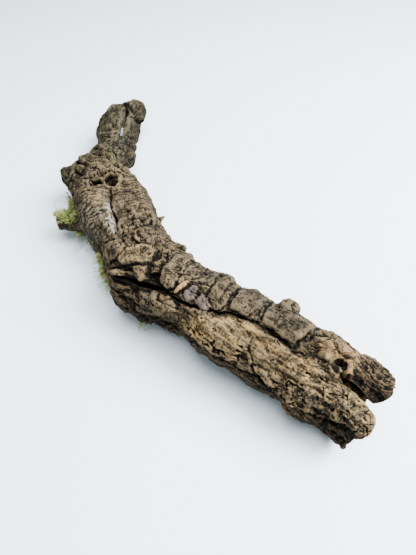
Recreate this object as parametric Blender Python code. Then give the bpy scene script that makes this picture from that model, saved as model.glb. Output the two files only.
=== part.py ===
"""A cork bark tube: the bark of one crooked cork oak branch, slipped off its wood in one piece, with the
moss that still clings to it.

The bark is one hollow solid, a loft between unlike sections round a bent bore, with its branch stubs
joined to it and its cracks, knot holes and flat resting spots cut out of it. Each tuft of moss is a solid
of its own, of the form that its fronds fill, and stands just clear of the bark.

Metres, +Z up. X runs along the tube from its thin end to its forked end, and the origin is the middle of
the box round the whole object, on the surface that it rests on. A place on the bark is given as X and
degrees round the tube: 0 is the top, 90 the back (+Y) and -90 the front.
"""

import math

import bmesh
import bpy
import numpy as np
from mathutils import Matrix, Vector, noise

# The middle of the object's box, taken off the places below to put the origin there.
BOX_MIDDLE = Vector((-0.0184, -0.0300, 0.0))

# The tube from its thin end to its forked end: X and Y of its middle, half its width, half its height,
# and how far its underside would stand off the floor. Below 0 the underside is worn flat.
STATIONS = (
    (-0.350, 0.050, 0.033, 0.029, -0.0015),
    (-0.285, 0.017, 0.032, 0.029, -0.0015),
    (-0.245, -0.002, 0.0290, 0.0285, 0.0005),
    (-0.218, -0.016, 0.0275, 0.0275, 0.0020),
    (-0.195, -0.030, 0.0300, 0.0290, 0.0045),
    (-0.160, -0.053, 0.037, 0.035, 0.0040),
    (-0.120, -0.063, 0.043, 0.039, 0.0005),
    (-0.080, -0.065, 0.045, 0.041, -0.0020),
    (-0.040, -0.066, 0.042, 0.039, -0.0020),
    (0.000, -0.067, 0.041, 0.037, 0.0010),
    (0.040, -0.068, 0.043, 0.039, 0.0050),
    (0.080, -0.053, 0.040, 0.038, 0.0080),
    (0.120, -0.0325, 0.0400, 0.037, 0.0070),
    (0.160, -0.0145, 0.0410, 0.037, 0.0030),
    (0.200, 0.0080, 0.0415, 0.037, -0.0020),
    (0.240, 0.029, 0.0385, 0.036, -0.0020),
    (0.300, 0.050, 0.034, 0.032, 0.0010),
)
WALL = 0.0105

# The bore runs on past both ends, and its wall is a little uneven.
BORE_PAST_END = 0.012
BORE_RIPPLE = 0.0012
BORE_RIPPLES_PER_METRE = 22

# Where the bark breaks off at each end: degrees round and X.
THIN_RIM = (
    (-180, -0.284), (-125, -0.290), (-90, -0.298), (-55, -0.291), (-20, -0.288), (2, -0.299),
    (18, -0.314), (40, -0.320), (60, -0.320), (95, -0.312), (130, -0.300), (180, -0.284),
)
FORKED_RIM = (
    (-180, 0.262), (-140, 0.257), (-110, 0.263), (-85, 0.270), (-65, 0.269), (-42, 0.275),
    (-22, 0.268), (-5, 0.269), (12, 0.269), (35, 0.266), (60, 0.259), (110, 0.256), (180, 0.262),
)
RAGGEDNESS = 0.0025

# The crust, broken into plates that each stand at a height of their own: how wide the plates are, and X
# and the height between low and high ones, which differs along the tube.
PLATE_SIZE = 0.024
PLATE_SHUFFLE = 7.3
PLATE_STEP = (
    (-0.350, 0.0030), (-0.200, 0.0050), (-0.120, 0.0040), (-0.070, 0.0020), (-0.030, 0.0025),
    (0.010, 0.0090), (0.070, 0.0080), (0.100, 0.0040), (0.190, 0.0040), (0.230, 0.0070), (0.300, 0.0070),
)
# Lumps and dents between them, and how many there are to a metre.
ROUGHNESS = 0.0050
LUMPS_PER_METRE = 32

# The seam where the two long edges of the bark meet: X, degrees round, depth of the dip along it and
# half the width of the dip.
SEAM = (
    (-0.350, 16, 0.0010, 0.0055),
    (-0.305, 24, 0.0030, 0.0055),
    (-0.285, 28, 0.0060, 0.0055),
    (-0.238, 27, 0.0050, 0.0050),
    (-0.190, 20, 0.0020, 0.0060),
    (-0.130, 8, 0.0015, 0.0070),
    (-0.090, 2, 0.0050, 0.0070),
    (-0.057, -7, 0.0040, 0.0050),
    (-0.027, -17, 0.0045, 0.0050),
    (0.000, -32, 0.0025, 0.0060),
    (0.037, -57, 0.0050, 0.0090),
    (0.064, -43, 0.0055, 0.0095),
    (0.100, -35, 0.0045, 0.0060),
    (0.127, -22, 0.0045, 0.0050),
    (0.155, -6, 0.0035, 0.0050),
    (0.199, -9, 0.0040, 0.0060),
    (0.225, -14, 0.0035, 0.0070),
    (0.245, -12, 0.0040, 0.0080),
    (0.300, -26, 0.0040, 0.0080),
)

# Round swellings and hollows: X, degrees round, height, reach along and reach round.
SWELLINGS = (
    (-0.290, -20, 0.0030, 0.030, 0.018),
    (-0.250, 78, -0.0085, 0.024, 0.018),
    (-0.226, -65, -0.0040, 0.016, 0.020),
    (-0.212, 50, -0.0050, 0.014, 0.012),
    (-0.203, 80, 0.0115, 0.009, 0.018),
    (-0.174, 84, -0.0095, 0.010, 0.020),
    (-0.174, -52, -0.0060, 0.012, 0.018),
    (-0.176, 45, 0.0035, 0.012, 0.020),
    (-0.140, -62, 0.0040, 0.020, 0.022),
    (-0.153, 72, -0.0125, 0.014, 0.024),
    (-0.116, 0, 0.0070, 0.012, 0.040),
    (-0.099, -16, -0.0070, 0.008, 0.009),
    (-0.062, 34, 0.0060, 0.032, 0.020),
    (-0.055, -50, 0.0020, 0.030, 0.020),
    (-0.018, -72, -0.0055, 0.024, 0.018),
    (-0.010, 25, -0.0045, 0.008, 0.028),
    (0.016, -86, -0.0055, 0.016, 0.018),
    (0.046, -80, -0.0040, 0.008, 0.009),
    (0.042, -96, 0.0075, 0.012, 0.016),
    (0.084, -92, -0.0100, 0.016, 0.018),
    (0.118, -95, 0.0040, 0.016, 0.016),
    (0.040, 42, 0.0025, 0.018, 0.020),
    (0.051, 72, 0.0065, 0.015, 0.022),
    (0.090, 60, -0.0105, 0.017, 0.022),
    (0.128, 62, -0.0045, 0.008, 0.018),
    (0.142, 24, 0.0030, 0.013, 0.018),
    (0.188, 66, -0.0060, 0.010, 0.018),
    (0.206, 12, -0.0050, 0.007, 0.017),
    (0.212, 64, 0.0068, 0.012, 0.016),
    (0.120, -50, 0.0030, 0.040, 0.014),
    (0.222, -98, 0.0080, 0.013, 0.016),
    (0.255, -44, 0.0030, 0.020, 0.014),
    (0.256, 4, -0.0035, 0.014, 0.012),
)

# Slabs of bark that stand proud with steep edges, or hollows where one is gone: X, degrees round,
# height, half length, half width, and turn from along the tube towards the back.
SLABS = (
    (0.030, -26, 0.0060, 0.025, 0.011, 32),
    (0.032, -62, 0.0050, 0.011, 0.009, 10),
    (0.053, -33, 0.0045, 0.008, 0.007, 0),
    (0.072, -66, 0.0055, 0.018, 0.012, 12),
    (0.104, 12, 0.0030, 0.021, 0.030, -8),
    (0.175, 26, 0.0030, 0.021, 0.029, -6),
    (-0.047, -42, 0.0020, 0.034, 0.020, 8),
    (0.160, -112, -0.0050, 0.085, 0.012, 0),
)
SLAB_EDGE = 0.005

# Growth ledges that run round the back of the bark, from a few degrees behind the seam: X, and the step
# down towards the forked end.
LEDGES = (
    (-0.228, 0.0020),
    (-0.132, 0.0030),
    (-0.020, 0.0030),
    (0.022, 0.0020),
    (0.082, 0.0015),
    (0.154, 0.0025),
)
LEDGE_LENGTH = 0.024
LEDGE_WAVER = 0.004
LEDGE_STARTS = 12
LEDGE_ENDS = 150

# The raised collar of cork round the forked end's knot: X, degrees round, radius, rise, half thickness.
KNOT_COLLAR = (0.2260, 12, 0.0115, 0.0055, 0.0048)

# Branch stubs: name, middle, half sizes, and turn about Z in degrees.
STUBS = (
    ("fork_knob", (0.2430, 0.0500, 0.0450), (0.0220, 0.0170, 0.0205), 28),
    ("fork_knob_tip", (0.2510, 0.0500, 0.0400), (0.0120, 0.0145, 0.0180), 28),
    ("thin_end_knob", (-0.2985, 0.0510, 0.0385), (0.0265, 0.0150, 0.0190), -26),
    ("elbow_knob", (-0.1640, -0.0845, 0.0410), (0.0180, 0.0200, 0.0210), 10),
    ("elbow_knob_tip", (-0.1785, -0.0930, 0.0405), (0.0140, 0.0130, 0.0140), 10),
    ("back_flap", (0.1570, 0.0225, 0.0580), (0.0110, 0.0135, 0.0135), 20),
)
STUB_ROUGHNESS = 0.0045

# Stubs that taper: name, root, tip and radii.
TAPERED_STUBS = (
    ("mossy_stub", (-0.0930, -0.0960, 0.0310), (-0.1110, -0.1310, 0.0270), (0.0165, 0.0085)),
    ("knot_nub", (0.2350, 0.0290, 0.0660), (0.2430, 0.0210, 0.0760), (0.0050, 0.0036)),
)

# Cracks: name, depth, and their course as X, degrees round and width.
THROUGH = 0.024
CRACKS = (
    ("thin_end_groove", 0.0050,
     ((-0.314, 20, 0.0024), (-0.300, 26, 0.0036), (-0.285, 30, 0.0040), (-0.250, 29, 0.0040))),
    ("thin_end_gap", THROUGH,
     ((-0.256, 29, 0.0028), (-0.246, 29, 0.0044), (-0.236, 28, 0.0048), (-0.228, 27, 0.0030))),
    ("neck_fold", 0.0060,
     ((-0.188, -34, 0.0025), (-0.180, -16, 0.0040), (-0.168, 6, 0.0035), (-0.150, 28, 0.0035),
      (-0.128, 41, 0.0030), (-0.110, 46, 0.0020))),
    ("shoulder_groove", 0.0050,
     ((-0.091, 7, 0.0030), (-0.069, -4, 0.0022), (-0.051, -12, 0.0024), (-0.040, -16, 0.0030))),
    ("shoulder_gap", THROUGH,
     ((-0.045, -14, 0.0025), (-0.034, -16, 0.0045), (-0.018, -21, 0.0045), (-0.006, -26, 0.0025))),
    ("cavity", THROUGH,
     ((0.034, -58, 0.0040), (0.047, -50, 0.0070), (0.062, -43, 0.0075), (0.078, -35, 0.0045))),
    ("waist_gap", THROUGH,
     ((0.086, -38, 0.0030), (0.096, -37, 0.0045), (0.110, -32, 0.0045), (0.124, -26, 0.0030))),
    ("waist_groove", 0.0060,
     ((0.121, -28, 0.0030), (0.128, -20, 0.0030), (0.138, -12, 0.0028), (0.153, -7, 0.0028),
      (0.167, -4, 0.0026), (0.183, -7, 0.0026), (0.198, -9, 0.0034))),
    ("cross_crack", 0.0065,
     ((0.196, -12, 0.0036), (0.199, 1, 0.0036), (0.201, 17, 0.0034), (0.205, 36, 0.0034),
      (0.211, 58, 0.0030), (0.213, 74, 0.0022))),
    ("strip_groove", 0.0040,
     ((0.171, -40, 0.0020), (0.176, -52, 0.0040), (0.182, -64, 0.0044), (0.188, -76, 0.0024))),
    ("fork_groove", 0.0045,
     ((0.234, -9, 0.0040), (0.246, -13, 0.0070), (0.258, -17, 0.0080), (0.268, -19, 0.0080))),
    ("fork_notch", THROUGH,
     ((0.259, -17, 0.0030), (0.267, -20, 0.0070), (0.280, -24, 0.0110), (0.294, -28, 0.0150))),
)

# Knot holes: name, X, degrees round, half length along, half width round and depth.
KNOT_HOLES = (
    ("shoulder_knot_hole", -0.0910, 7, 0.0060, 0.0065, THROUGH),
    ("forked_end_knot_hole", 0.2280, 6, 0.0048, 0.0052, 0.0120),
)

# Moss, each clump from a few rounded cushions: middle and half sizes.
MOSS = {
    "moss_on_stub": (
        ((-0.1030, -0.1160, 0.0440), (0.0150, 0.0150, 0.0070)),
        ((-0.1180, -0.1190, 0.0380), (0.0150, 0.0140, 0.0080)),
        ((-0.1320, -0.1220, 0.0310), (0.0140, 0.0120, 0.0090)),
    ),
    "moss_hanging_wisp": (
        ((-0.0830, -0.1120, 0.0130), (0.0090, 0.0070, 0.0100)),
        ((-0.0760, -0.1190, 0.0070), (0.0080, 0.0100, 0.0045)),
    ),
    "moss_side_tuft": (
        ((-0.0190, -0.1120, 0.0290), (0.0120, 0.0070, 0.0110)),
        ((0.0000, -0.1150, 0.0220), (0.0150, 0.0080, 0.0120)),
    ),
    "moss_under_edge": (
        ((0.0680, -0.0950, 0.0110), (0.0110, 0.0080, 0.0080)),
    ),
}
MOSS_CLEARANCE = 0.0006
MOSS_ROUGHNESS = 0.0016

SECTIONS_ALONG = 66
BORE_SECTIONS = 34
BORE_SIDES = 16
# Degrees from the seam of the loft's long edges, closest together where the seam dips.
AROUND = (
    0, 4, 9, 15, 22, 30, 39, 49, 60, 71, 82, 93, 104, 115, 127, 140, 153, 166, 180,
    194, 207, 220, 233, 245, 256, 267, 278, 289, 300, 311, 321, 330, 338, 345, 351, 356,
)


def through(table, column, x):
    """A smooth curve (a Catmull-Rom spline) through one column of a table, by its first column."""
    rows = np.array([row[:column + 1] for row in table])
    knots = rows[:, 0]
    values = rows[:, column]
    slopes = np.gradient(values, knots)
    low = int(np.clip(np.searchsorted(knots, x) - 1, 0, len(knots) - 2))
    step = knots[low + 1] - knots[low]
    t = (x - knots[low]) / step
    start = (1 + 2 * t) * (1 - t) ** 2 * values[low] + t * (1 - t) ** 2 * step * slopes[low]
    end = t * t * (3 - 2 * t) * values[low + 1] + t * t * (t - 1) * step * slopes[low + 1]
    return float(start + end)


def turned(degrees):
    """The same angle between -180 and 180."""
    return (degrees + 180) % 360 - 180


def section(x):
    """Middle, sideways direction, half width and half height of the tube at X."""
    wide = through(STATIONS, 2, x)
    high = through(STATIONS, 3, x)
    middle = Vector((x, through(STATIONS, 1, x), through(STATIONS, 4, x) + high))
    reach = 0.004
    rise = through(STATIONS, 1, x + reach) - through(STATIONS, 1, x - reach)
    sideways = Vector((-rise, 2 * reach, 0)).normalized()
    return middle, sideways, wide, high


def outward(sideways, degrees):
    """The direction out of the tube at an angle round it."""
    return sideways * math.sin(math.radians(degrees)) + Vector((0, 0, math.cos(math.radians(degrees))))


def arc(degrees, girth):
    """The length round the tube of an angle."""
    return math.radians(turned(degrees)) * girth


def slab_height(x, degrees, girth, slab):
    at_x, at_degrees, rise, half_length, half_width, turn = slab
    along = x - at_x
    around = arc(degrees - at_degrees, girth)
    c = math.cos(math.radians(turn))
    s = math.sin(math.radians(turn))
    past = max(abs(along * c + around * s) - half_length, abs(around * c - along * s) - half_width)
    share = min(1, max(0, 0.5 - past / SLAB_EDGE))
    return rise * share * share * (3 - 2 * share)


def ledge_height(x, degrees, from_seam):
    fade = 6
    if from_seam > LEDGE_ENDS:
        return 0
    share = 1 / (1 + math.exp((LEDGE_STARTS - from_seam) / fade))
    height = 0
    for at_x, step in LEDGES:
        run = (at_x - x + LEDGE_WAVER * math.sin(math.radians(degrees) * 2)) / LEDGE_LENGTH
        if 0 <= run <= 1:
            height += step * (1 - run) * share
    return height


def relief(x, degrees, girth):
    """How far the bark stands out from its plain oval at a place, in metres."""
    from_seam = turned(degrees - through(SEAM, 1, x))
    across = arc(from_seam, girth)
    height = -through(SEAM, 2, x) * math.exp(-((across / through(SEAM, 3, x)) ** 2))
    for at_x, at_degrees, rise, along, around in SWELLINGS:
        off = arc(degrees - at_degrees, girth)
        height += rise * math.exp(-(((x - at_x) / along) ** 2) - (off / around) ** 2)
    for slab in SLABS:
        height += slab_height(x, degrees, girth, slab)
    height += ledge_height(x, degrees, from_seam)
    at_x, at_degrees, radius, rise, thickness = KNOT_COLLAR
    from_knot = math.hypot(x - at_x, arc(degrees - at_degrees, girth))
    height += rise * math.exp(-(((from_knot - radius) / thickness) ** 2))
    place = Vector((x, girth * math.cos(math.radians(degrees)), girth * math.sin(math.radians(degrees))))
    plate = noise.voronoi(place / PLATE_SIZE)[1][0]
    height += through(PLATE_STEP, 1, x) * noise.noise(plate * PLATE_SHUFFLE)
    return height + ROUGHNESS * noise.fractal(place * LUMPS_PER_METRE, 0.9, 2.1, 3)


def bark_point(x, degrees):
    """A point on the outside of the bark."""
    middle, sideways, wide, high = section(x)
    s = math.sin(math.radians(degrees))
    c = math.cos(math.radians(degrees))
    out = Vector((s / wide, c / high)).normalized() * relief(x, degrees, (wide + high) / 2)
    point = middle + sideways * (wide * s + out.x)
    point.z += high * c + out.y
    return point


def bore_point(x, degrees):
    """A point on the inside of the bark."""
    middle, sideways, wide, high = section(x)
    ripple = BORE_RIPPLE * noise.noise(Vector((x * BORE_RIPPLES_PER_METRE, degrees / 60, 0)))
    point = middle + sideways * (wide - WALL + ripple) * math.sin(math.radians(degrees))
    point.z += (high - WALL + ripple) * math.cos(math.radians(degrees))
    return point


def rim(table, degrees):
    """Where the bark ends at an angle round the tube."""
    ragged = math.sin(math.radians(degrees * 5)) + 0.7 * math.sin(math.radians(degrees * 11 + 40))
    return through(table, 1, turned(degrees)) + RAGGEDNESS * ragged


def material(name, colour, roughness):
    made = bpy.data.materials.get(name) or bpy.data.materials.new(name)
    made.use_nodes = True
    shader = made.node_tree.nodes["Principled BSDF"]
    shader.inputs["Base Color"].default_value = (*colour, 1)
    shader.inputs["Roughness"].default_value = roughness
    shader.inputs["Metallic"].default_value = 0
    return made


def bark_material():
    return material("cork_bark", (0.235, 0.178, 0.122), 0.92)


def moss_material():
    return material("moss", (0.250, 0.280, 0.070), 0.95)


def add_object(name, mesh, collection, finish=None):
    """Puts a mesh in the scene as an object. One without a finish only cuts or joins."""
    made = bpy.data.objects.new(name, mesh)
    collection.objects.link(made)
    if finish:
        mesh.materials.append(finish)
    else:
        made.hide_render = True
        made.display_type = "WIRE"
    return made


def loft(name, rings, collection, finish=None):
    """A closed solid through a row of rings of points. Each end is closed by a fan of faces to its middle,
    because the ring there isn't flat."""
    bm = bmesh.new()
    rows = [[bm.verts.new(point) for point in ring] for ring in rings]
    ends = [bm.verts.new(sum(ring, Vector()) / len(ring)) for ring in (rings[0], rings[-1])]
    for i in range(len(rows[0])):
        j = (i + 1) % len(rows[0])
        for one, other in zip(rows, rows[1:]):
            bm.faces.new((one[i], one[j], other[j], other[i]))
        bm.faces.new((rows[0][j], rows[0][i], ends[0]))
        bm.faces.new((rows[-1][i], rows[-1][j], ends[1]))
    bmesh.ops.recalc_face_normals(bm, faces=bm.faces)
    mesh = bpy.data.meshes.new(name)
    bm.to_mesh(mesh)
    bm.free()
    return add_object(name, mesh, collection, finish)


def between(start, end, share):
    return start + (end - start) * share


def add_bark(collection):
    """The outside of the bark as a solid, closed across its two broken ends."""
    thin_end = THIN_RIM[0][1]
    forked_end = FORKED_RIM[0][1]
    rings = []
    for n in range(SECTIONS_ALONG + 1):
        share = n / SECTIONS_ALONG
        seam = through(SEAM, 1, between(thin_end, forked_end, share))
        ring = []
        for step in AROUND:
            degrees = turned(seam + step)
            x = between(rim(THIN_RIM, degrees), rim(FORKED_RIM, degrees), share)
            ring.append(bark_point(x, degrees))
        rings.append(ring)
    return loft("bark_tube", rings, collection, bark_material())


def add_bore(collection):
    """The hollow that the wood left, which runs out through both ends."""
    start = min(x for _, x in THIN_RIM) - BORE_PAST_END
    end = max(x for _, x in FORKED_RIM) + BORE_PAST_END
    rings = []
    for n in range(BORE_SECTIONS + 1):
        x = between(start, end, n / BORE_SECTIONS)
        rings.append([bore_point(x, 360 * k / BORE_SIDES) for k in range(BORE_SIDES)])
    return loft("bore", rings, collection)


def roughened(mesh, amount):
    """Moves a rounded solid's points in and out, so that it isn't a smooth ball."""
    finest = 95
    for vertex in mesh.vertices:
        rough = noise.fractal(vertex.co * finest, 1.0, 2.0, 2)
        vertex.co += vertex.co.normalized() * amount * rough


def add_lump(name, middle, half_sizes, turn, roughness, collection, finish=None):
    """A rounded lump: a sphere stretched to half_sizes, roughened, turned about Z and put in place."""
    bm = bmesh.new()
    bmesh.ops.create_icosphere(bm, subdivisions=2, radius=1)
    bmesh.ops.scale(bm, vec=half_sizes, verts=bm.verts)
    mesh = bpy.data.meshes.new(name)
    bm.to_mesh(mesh)
    bm.free()
    roughened(mesh, roughness)
    mesh.transform(Matrix.Translation(middle) @ Matrix.Rotation(math.radians(turn), 4, "Z"))
    return add_object(name, mesh, collection, finish)


def add_cone(name, start, end, radii, collection, sides=12):
    """A plain round bar or cone from start to end."""
    along = Vector(end) - Vector(start)
    bm = bmesh.new()
    bmesh.ops.create_cone(
        bm, cap_ends=True, segments=sides, radius1=radii[0], radius2=radii[1], depth=along.length
    )
    mesh = bpy.data.meshes.new(name)
    bm.to_mesh(mesh)
    bm.free()
    place = Matrix.Translation((Vector(start) + Vector(end)) / 2)
    mesh.transform(place @ along.to_track_quat("Z", "Y").to_matrix().to_4x4())
    return add_object(name, mesh, collection)


def add_crack(name, depth, course, collection):
    """A blade that follows a course over the bark and cuts it to a depth under its surface. A shallow
    crack narrows to its bottom, and one that goes through keeps half its width."""
    above = 0.006
    length = 0.010
    last = len(course) - 1
    steps = max(4, round(abs(course[-1][0] - course[0][0]) / length))
    numbered = [(n, *point) for n, point in enumerate(course)]
    blade = []
    for n in range(steps + 1):
        along = last * n / steps
        x, degrees, width = (through(numbered, column, along) for column in (1, 2, 3))
        ahead_x, ahead_degrees = (through(numbered, column, along + 0.05) for column in (1, 2))
        surface = bark_point(x, degrees)
        out = outward(section(x)[1], degrees)
        forward = bark_point(ahead_x, ahead_degrees) - surface
        across = forward.cross(out).normalized()
        narrowed = 0.5 if depth >= THROUGH else 0.25
        foot = surface - out * depth
        head = surface + out * above
        half = across * width / 2
        blade.append([foot - half * narrowed, foot + half * narrowed, head + half, head - half])
    return loft(name, blade, collection)


def add_knot_hole(name, x, degrees, along, around, depth, collection):
    """A short oval bar into the bark, square to it."""
    surface = bark_point(x, degrees)
    sideways = section(x)[1]
    out = outward(sideways, degrees)
    above = 0.010
    foot = surface - out * depth
    head = surface + out * above
    made = add_cone(name, foot, head, (around * 0.9, around * 1.1), collection, sides=10)
    stretch = Matrix.Scale(along / around, 4, Vector((sideways.y, -sideways.x, 0)))
    centre = Matrix.Translation((foot + head) / 2)
    made.data.transform(centre @ stretch @ centre.inverted())
    return made


def carve(target, other, operation):
    """Joins another object to the target or cuts it away, by an exact Boolean that is applied at once.
    Points that the cut leaves closer than a hair are welded."""
    hair = 0.00002
    step = target.modifiers.new(other.name, "BOOLEAN")
    step.operation = operation
    step.object = other
    step.solver = "EXACT"
    bpy.context.view_layer.update()
    seen = target.evaluated_get(bpy.context.evaluated_depsgraph_get())
    mesh = bpy.data.meshes.new_from_object(seen)
    target.modifiers.clear()
    bm = bmesh.new()
    bm.from_mesh(mesh)
    bmesh.ops.triangulate(bm, faces=bm.faces)
    bmesh.ops.remove_doubles(bm, verts=bm.verts, dist=hair)
    bmesh.ops.dissolve_degenerate(bm, dist=hair, edges=bm.edges)
    bm.to_mesh(mesh)
    bm.free()
    target.data = mesh


def add_floor_cut(collection):
    """A block under the floor, which leaves the worn flats that the tube rests on."""
    length, width, thickness = 0.9, 0.5, 0.1
    bm = bmesh.new()
    bmesh.ops.create_cube(bm, size=1)
    bmesh.ops.scale(bm, vec=(length, width, thickness), verts=bm.verts)
    bmesh.ops.translate(bm, vec=(0, 0, -thickness / 2), verts=bm.verts)
    mesh = bpy.data.meshes.new("floor_cut")
    bm.to_mesh(mesh)
    bm.free()
    return add_object("floor_cut", mesh, collection)


def build_bark(parts, cutters):
    bark = add_bark(parts)
    for name, middle, half_sizes, turn in STUBS:
        carve(bark, add_lump(name, middle, half_sizes, turn, STUB_ROUGHNESS, cutters), "UNION")
    for name, root, tip, radii in TAPERED_STUBS:
        carve(bark, add_cone(name, root, tip, radii, cutters), "UNION")
    carve(bark, add_bore(cutters), "DIFFERENCE")
    for name, depth, course in CRACKS:
        carve(bark, add_crack(name, depth, course, cutters), "DIFFERENCE")
    for hole in KNOT_HOLES:
        carve(bark, add_knot_hole(*hole, cutters), "DIFFERENCE")
    carve(bark, add_floor_cut(cutters), "DIFFERENCE")
    return bark


def swollen(bark, amount, collection):
    """A copy of the bark, thicker all over, that keeps other pieces clear of it."""
    mesh = bark.data.copy()
    moved = [vertex.co + vertex.normal * amount for vertex in mesh.vertices]
    for vertex, place in zip(mesh.vertices, moved):
        vertex.co = place
    return add_object("bark_clearance", mesh, collection)


def build_moss(bark, parts, cutters):
    clearance = swollen(bark, MOSS_CLEARANCE, cutters)
    made = []
    for name, cushions in MOSS.items():
        middle, half_sizes = cushions[0]
        clump = add_lump(name, middle, half_sizes, 0, MOSS_ROUGHNESS, parts, moss_material())
        for n, (middle, half_sizes) in enumerate(cushions[1:]):
            carve(clump, add_lump(f"{name}_{n}", middle, half_sizes, 0, MOSS_ROUGHNESS, cutters), "UNION")
        carve(clump, clearance, "DIFFERENCE")
        made.append(clump)
    return made


def new_collection(name):
    made = bpy.data.collections.new(name)
    bpy.context.scene.collection.children.link(made)
    return made


def main():
    for old in list(bpy.data.objects):
        bpy.data.objects.remove(old)
    parts = new_collection("cork_bark_tube")
    cutters = new_collection("cutters")
    bark = build_bark(parts, cutters)
    for piece in (bark, *build_moss(bark, parts, cutters)):
        piece.data.transform(Matrix.Translation(-BOX_MIDDLE))
        piece.data.shade_flat()


if __name__ == "__main__":
    main()
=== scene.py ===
"""A cork bark tube with moss on it, lying on a pale table: the looks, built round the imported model."""

import math

import bmesh
import bpy
import numpy as np
from mathutils import Matrix, Vector, kdtree, noise
from mathutils.bvhtree import BVHTree


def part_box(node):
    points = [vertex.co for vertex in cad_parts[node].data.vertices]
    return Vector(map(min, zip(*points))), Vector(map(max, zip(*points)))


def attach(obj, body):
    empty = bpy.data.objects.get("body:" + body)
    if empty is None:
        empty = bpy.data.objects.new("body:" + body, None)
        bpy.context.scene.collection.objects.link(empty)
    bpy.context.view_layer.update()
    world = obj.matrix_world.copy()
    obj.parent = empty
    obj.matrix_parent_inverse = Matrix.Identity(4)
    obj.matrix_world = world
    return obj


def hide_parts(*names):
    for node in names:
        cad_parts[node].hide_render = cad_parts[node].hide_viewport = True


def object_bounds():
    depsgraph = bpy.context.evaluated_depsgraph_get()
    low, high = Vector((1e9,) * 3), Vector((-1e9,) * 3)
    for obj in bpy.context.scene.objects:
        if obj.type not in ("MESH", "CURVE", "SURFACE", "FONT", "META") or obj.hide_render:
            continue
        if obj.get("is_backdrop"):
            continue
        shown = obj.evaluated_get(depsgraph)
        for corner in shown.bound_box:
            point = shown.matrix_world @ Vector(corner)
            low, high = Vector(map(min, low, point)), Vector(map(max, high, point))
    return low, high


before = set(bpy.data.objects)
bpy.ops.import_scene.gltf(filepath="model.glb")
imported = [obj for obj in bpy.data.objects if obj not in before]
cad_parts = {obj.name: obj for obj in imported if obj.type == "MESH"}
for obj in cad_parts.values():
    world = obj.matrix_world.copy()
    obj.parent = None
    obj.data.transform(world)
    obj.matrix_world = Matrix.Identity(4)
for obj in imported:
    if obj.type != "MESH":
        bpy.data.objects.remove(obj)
cad_low, cad_high = (np.array(corner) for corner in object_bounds())


# The bark tube is the bark of one cork oak branch, slipped off its wood in one piece. It is a thick hollow
# wall of cork, soft grey-brown and broken into plates, wrinkles, pits and fibres. The mesh starts from the
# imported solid, is made of fine even faces, and then gets its relief from its own place on the tube.

# Places on the bark are given as X from the bend and degrees round the tube: 0 is the top, 90 the back.
BEND = np.array((0.0184, 0.03, 0.0))

# X, Y of the tube's middle, half its width, half its height, and how far its underside is off the table.
TUBE = np.array((
    (-0.350, 0.050, 0.0330, 0.0290, -0.0015),
    (-0.285, 0.017, 0.0320, 0.0290, -0.0015),
    (-0.245, -0.002, 0.0290, 0.0285, 0.0005),
    (-0.218, -0.016, 0.0275, 0.0275, 0.0020),
    (-0.195, -0.030, 0.0300, 0.0290, 0.0045),
    (-0.160, -0.053, 0.0370, 0.0350, 0.0040),
    (-0.120, -0.063, 0.0430, 0.0390, 0.0005),
    (-0.080, -0.065, 0.0450, 0.0410, -0.0020),
    (-0.040, -0.066, 0.0420, 0.0390, -0.0020),
    (0.000, -0.067, 0.0410, 0.0370, 0.0010),
    (0.040, -0.068, 0.0430, 0.0390, 0.0050),
    (0.080, -0.053, 0.0400, 0.0380, 0.0080),
    (0.120, -0.0325, 0.0400, 0.0370, 0.0070),
    (0.160, -0.0145, 0.0410, 0.0370, 0.0030),
    (0.200, 0.0080, 0.0415, 0.0370, -0.0020),
    (0.240, 0.0290, 0.0385, 0.0360, -0.0020),
    (0.300, 0.0500, 0.0340, 0.0320, 0.0010),
))

WELD = 0.00001
BARK_GRAIN = 0.00105
BOX_GAP = 0.0001


def smooth_step(low, high, value):
    """0 at low, 1 at high, and a smooth rise between them. Low may be the larger of the two."""
    share = np.clip((value - low) / (high - low), 0, 1)
    return share * share * (3 - 2 * share)


def mesh_array(mesh, kind="co"):
    """The places of a mesh's vertices, or their normals."""
    values = np.empty(len(mesh.vertices) * 3, np.float32)
    mesh.vertices.foreach_get(kind, values)
    return values.reshape(-1, 3).astype(float)


def set_places(mesh, places):
    mesh.vertices.foreach_set("co", np.asarray(places, np.float32).ravel())
    mesh.update()


def in_box(places):
    """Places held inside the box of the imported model."""
    return np.clip(places, cad_low + BOX_GAP, cad_high - BOX_GAP)


def unit(vectors):
    return vectors / (np.linalg.norm(vectors, axis=-1, keepdims=True) + 1e-9)


def changed(piece, kind, **settings):
    """Adds a modifier and applies it at once."""
    step = piece.modifiers.new(kind.lower(), kind)
    for name, value in settings.items():
        setattr(step, name, value)
    bpy.context.view_layer.update()
    seen = piece.evaluated_get(bpy.context.evaluated_depsgraph_get())
    mesh = bpy.data.meshes.new_from_object(seen)
    old = piece.data
    piece.modifiers.clear()
    piece.data = mesh
    bpy.data.meshes.remove(old)


def new_piece(name, mesh):
    piece = bpy.data.objects.new(name, mesh)
    bpy.context.scene.collection.objects.link(piece)
    return piece


def welded_copy(name, node):
    """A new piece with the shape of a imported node, its corners joined again."""
    bm = bmesh.new()
    bm.from_mesh(node.data)
    bmesh.ops.remove_doubles(bm, verts=bm.verts, dist=WELD)
    mesh = bpy.data.meshes.new(name)
    bm.to_mesh(mesh)
    bm.free()
    mesh.materials.clear()
    return new_piece(name, mesh)


bark = welded_copy("cork_bark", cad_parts["bark_tube"])
changed(bark, "REMESH", mode="VOXEL", voxel_size=BARK_GRAIN)
changed(bark, "SMOOTH", factor=0.5, iterations=4)


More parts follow.
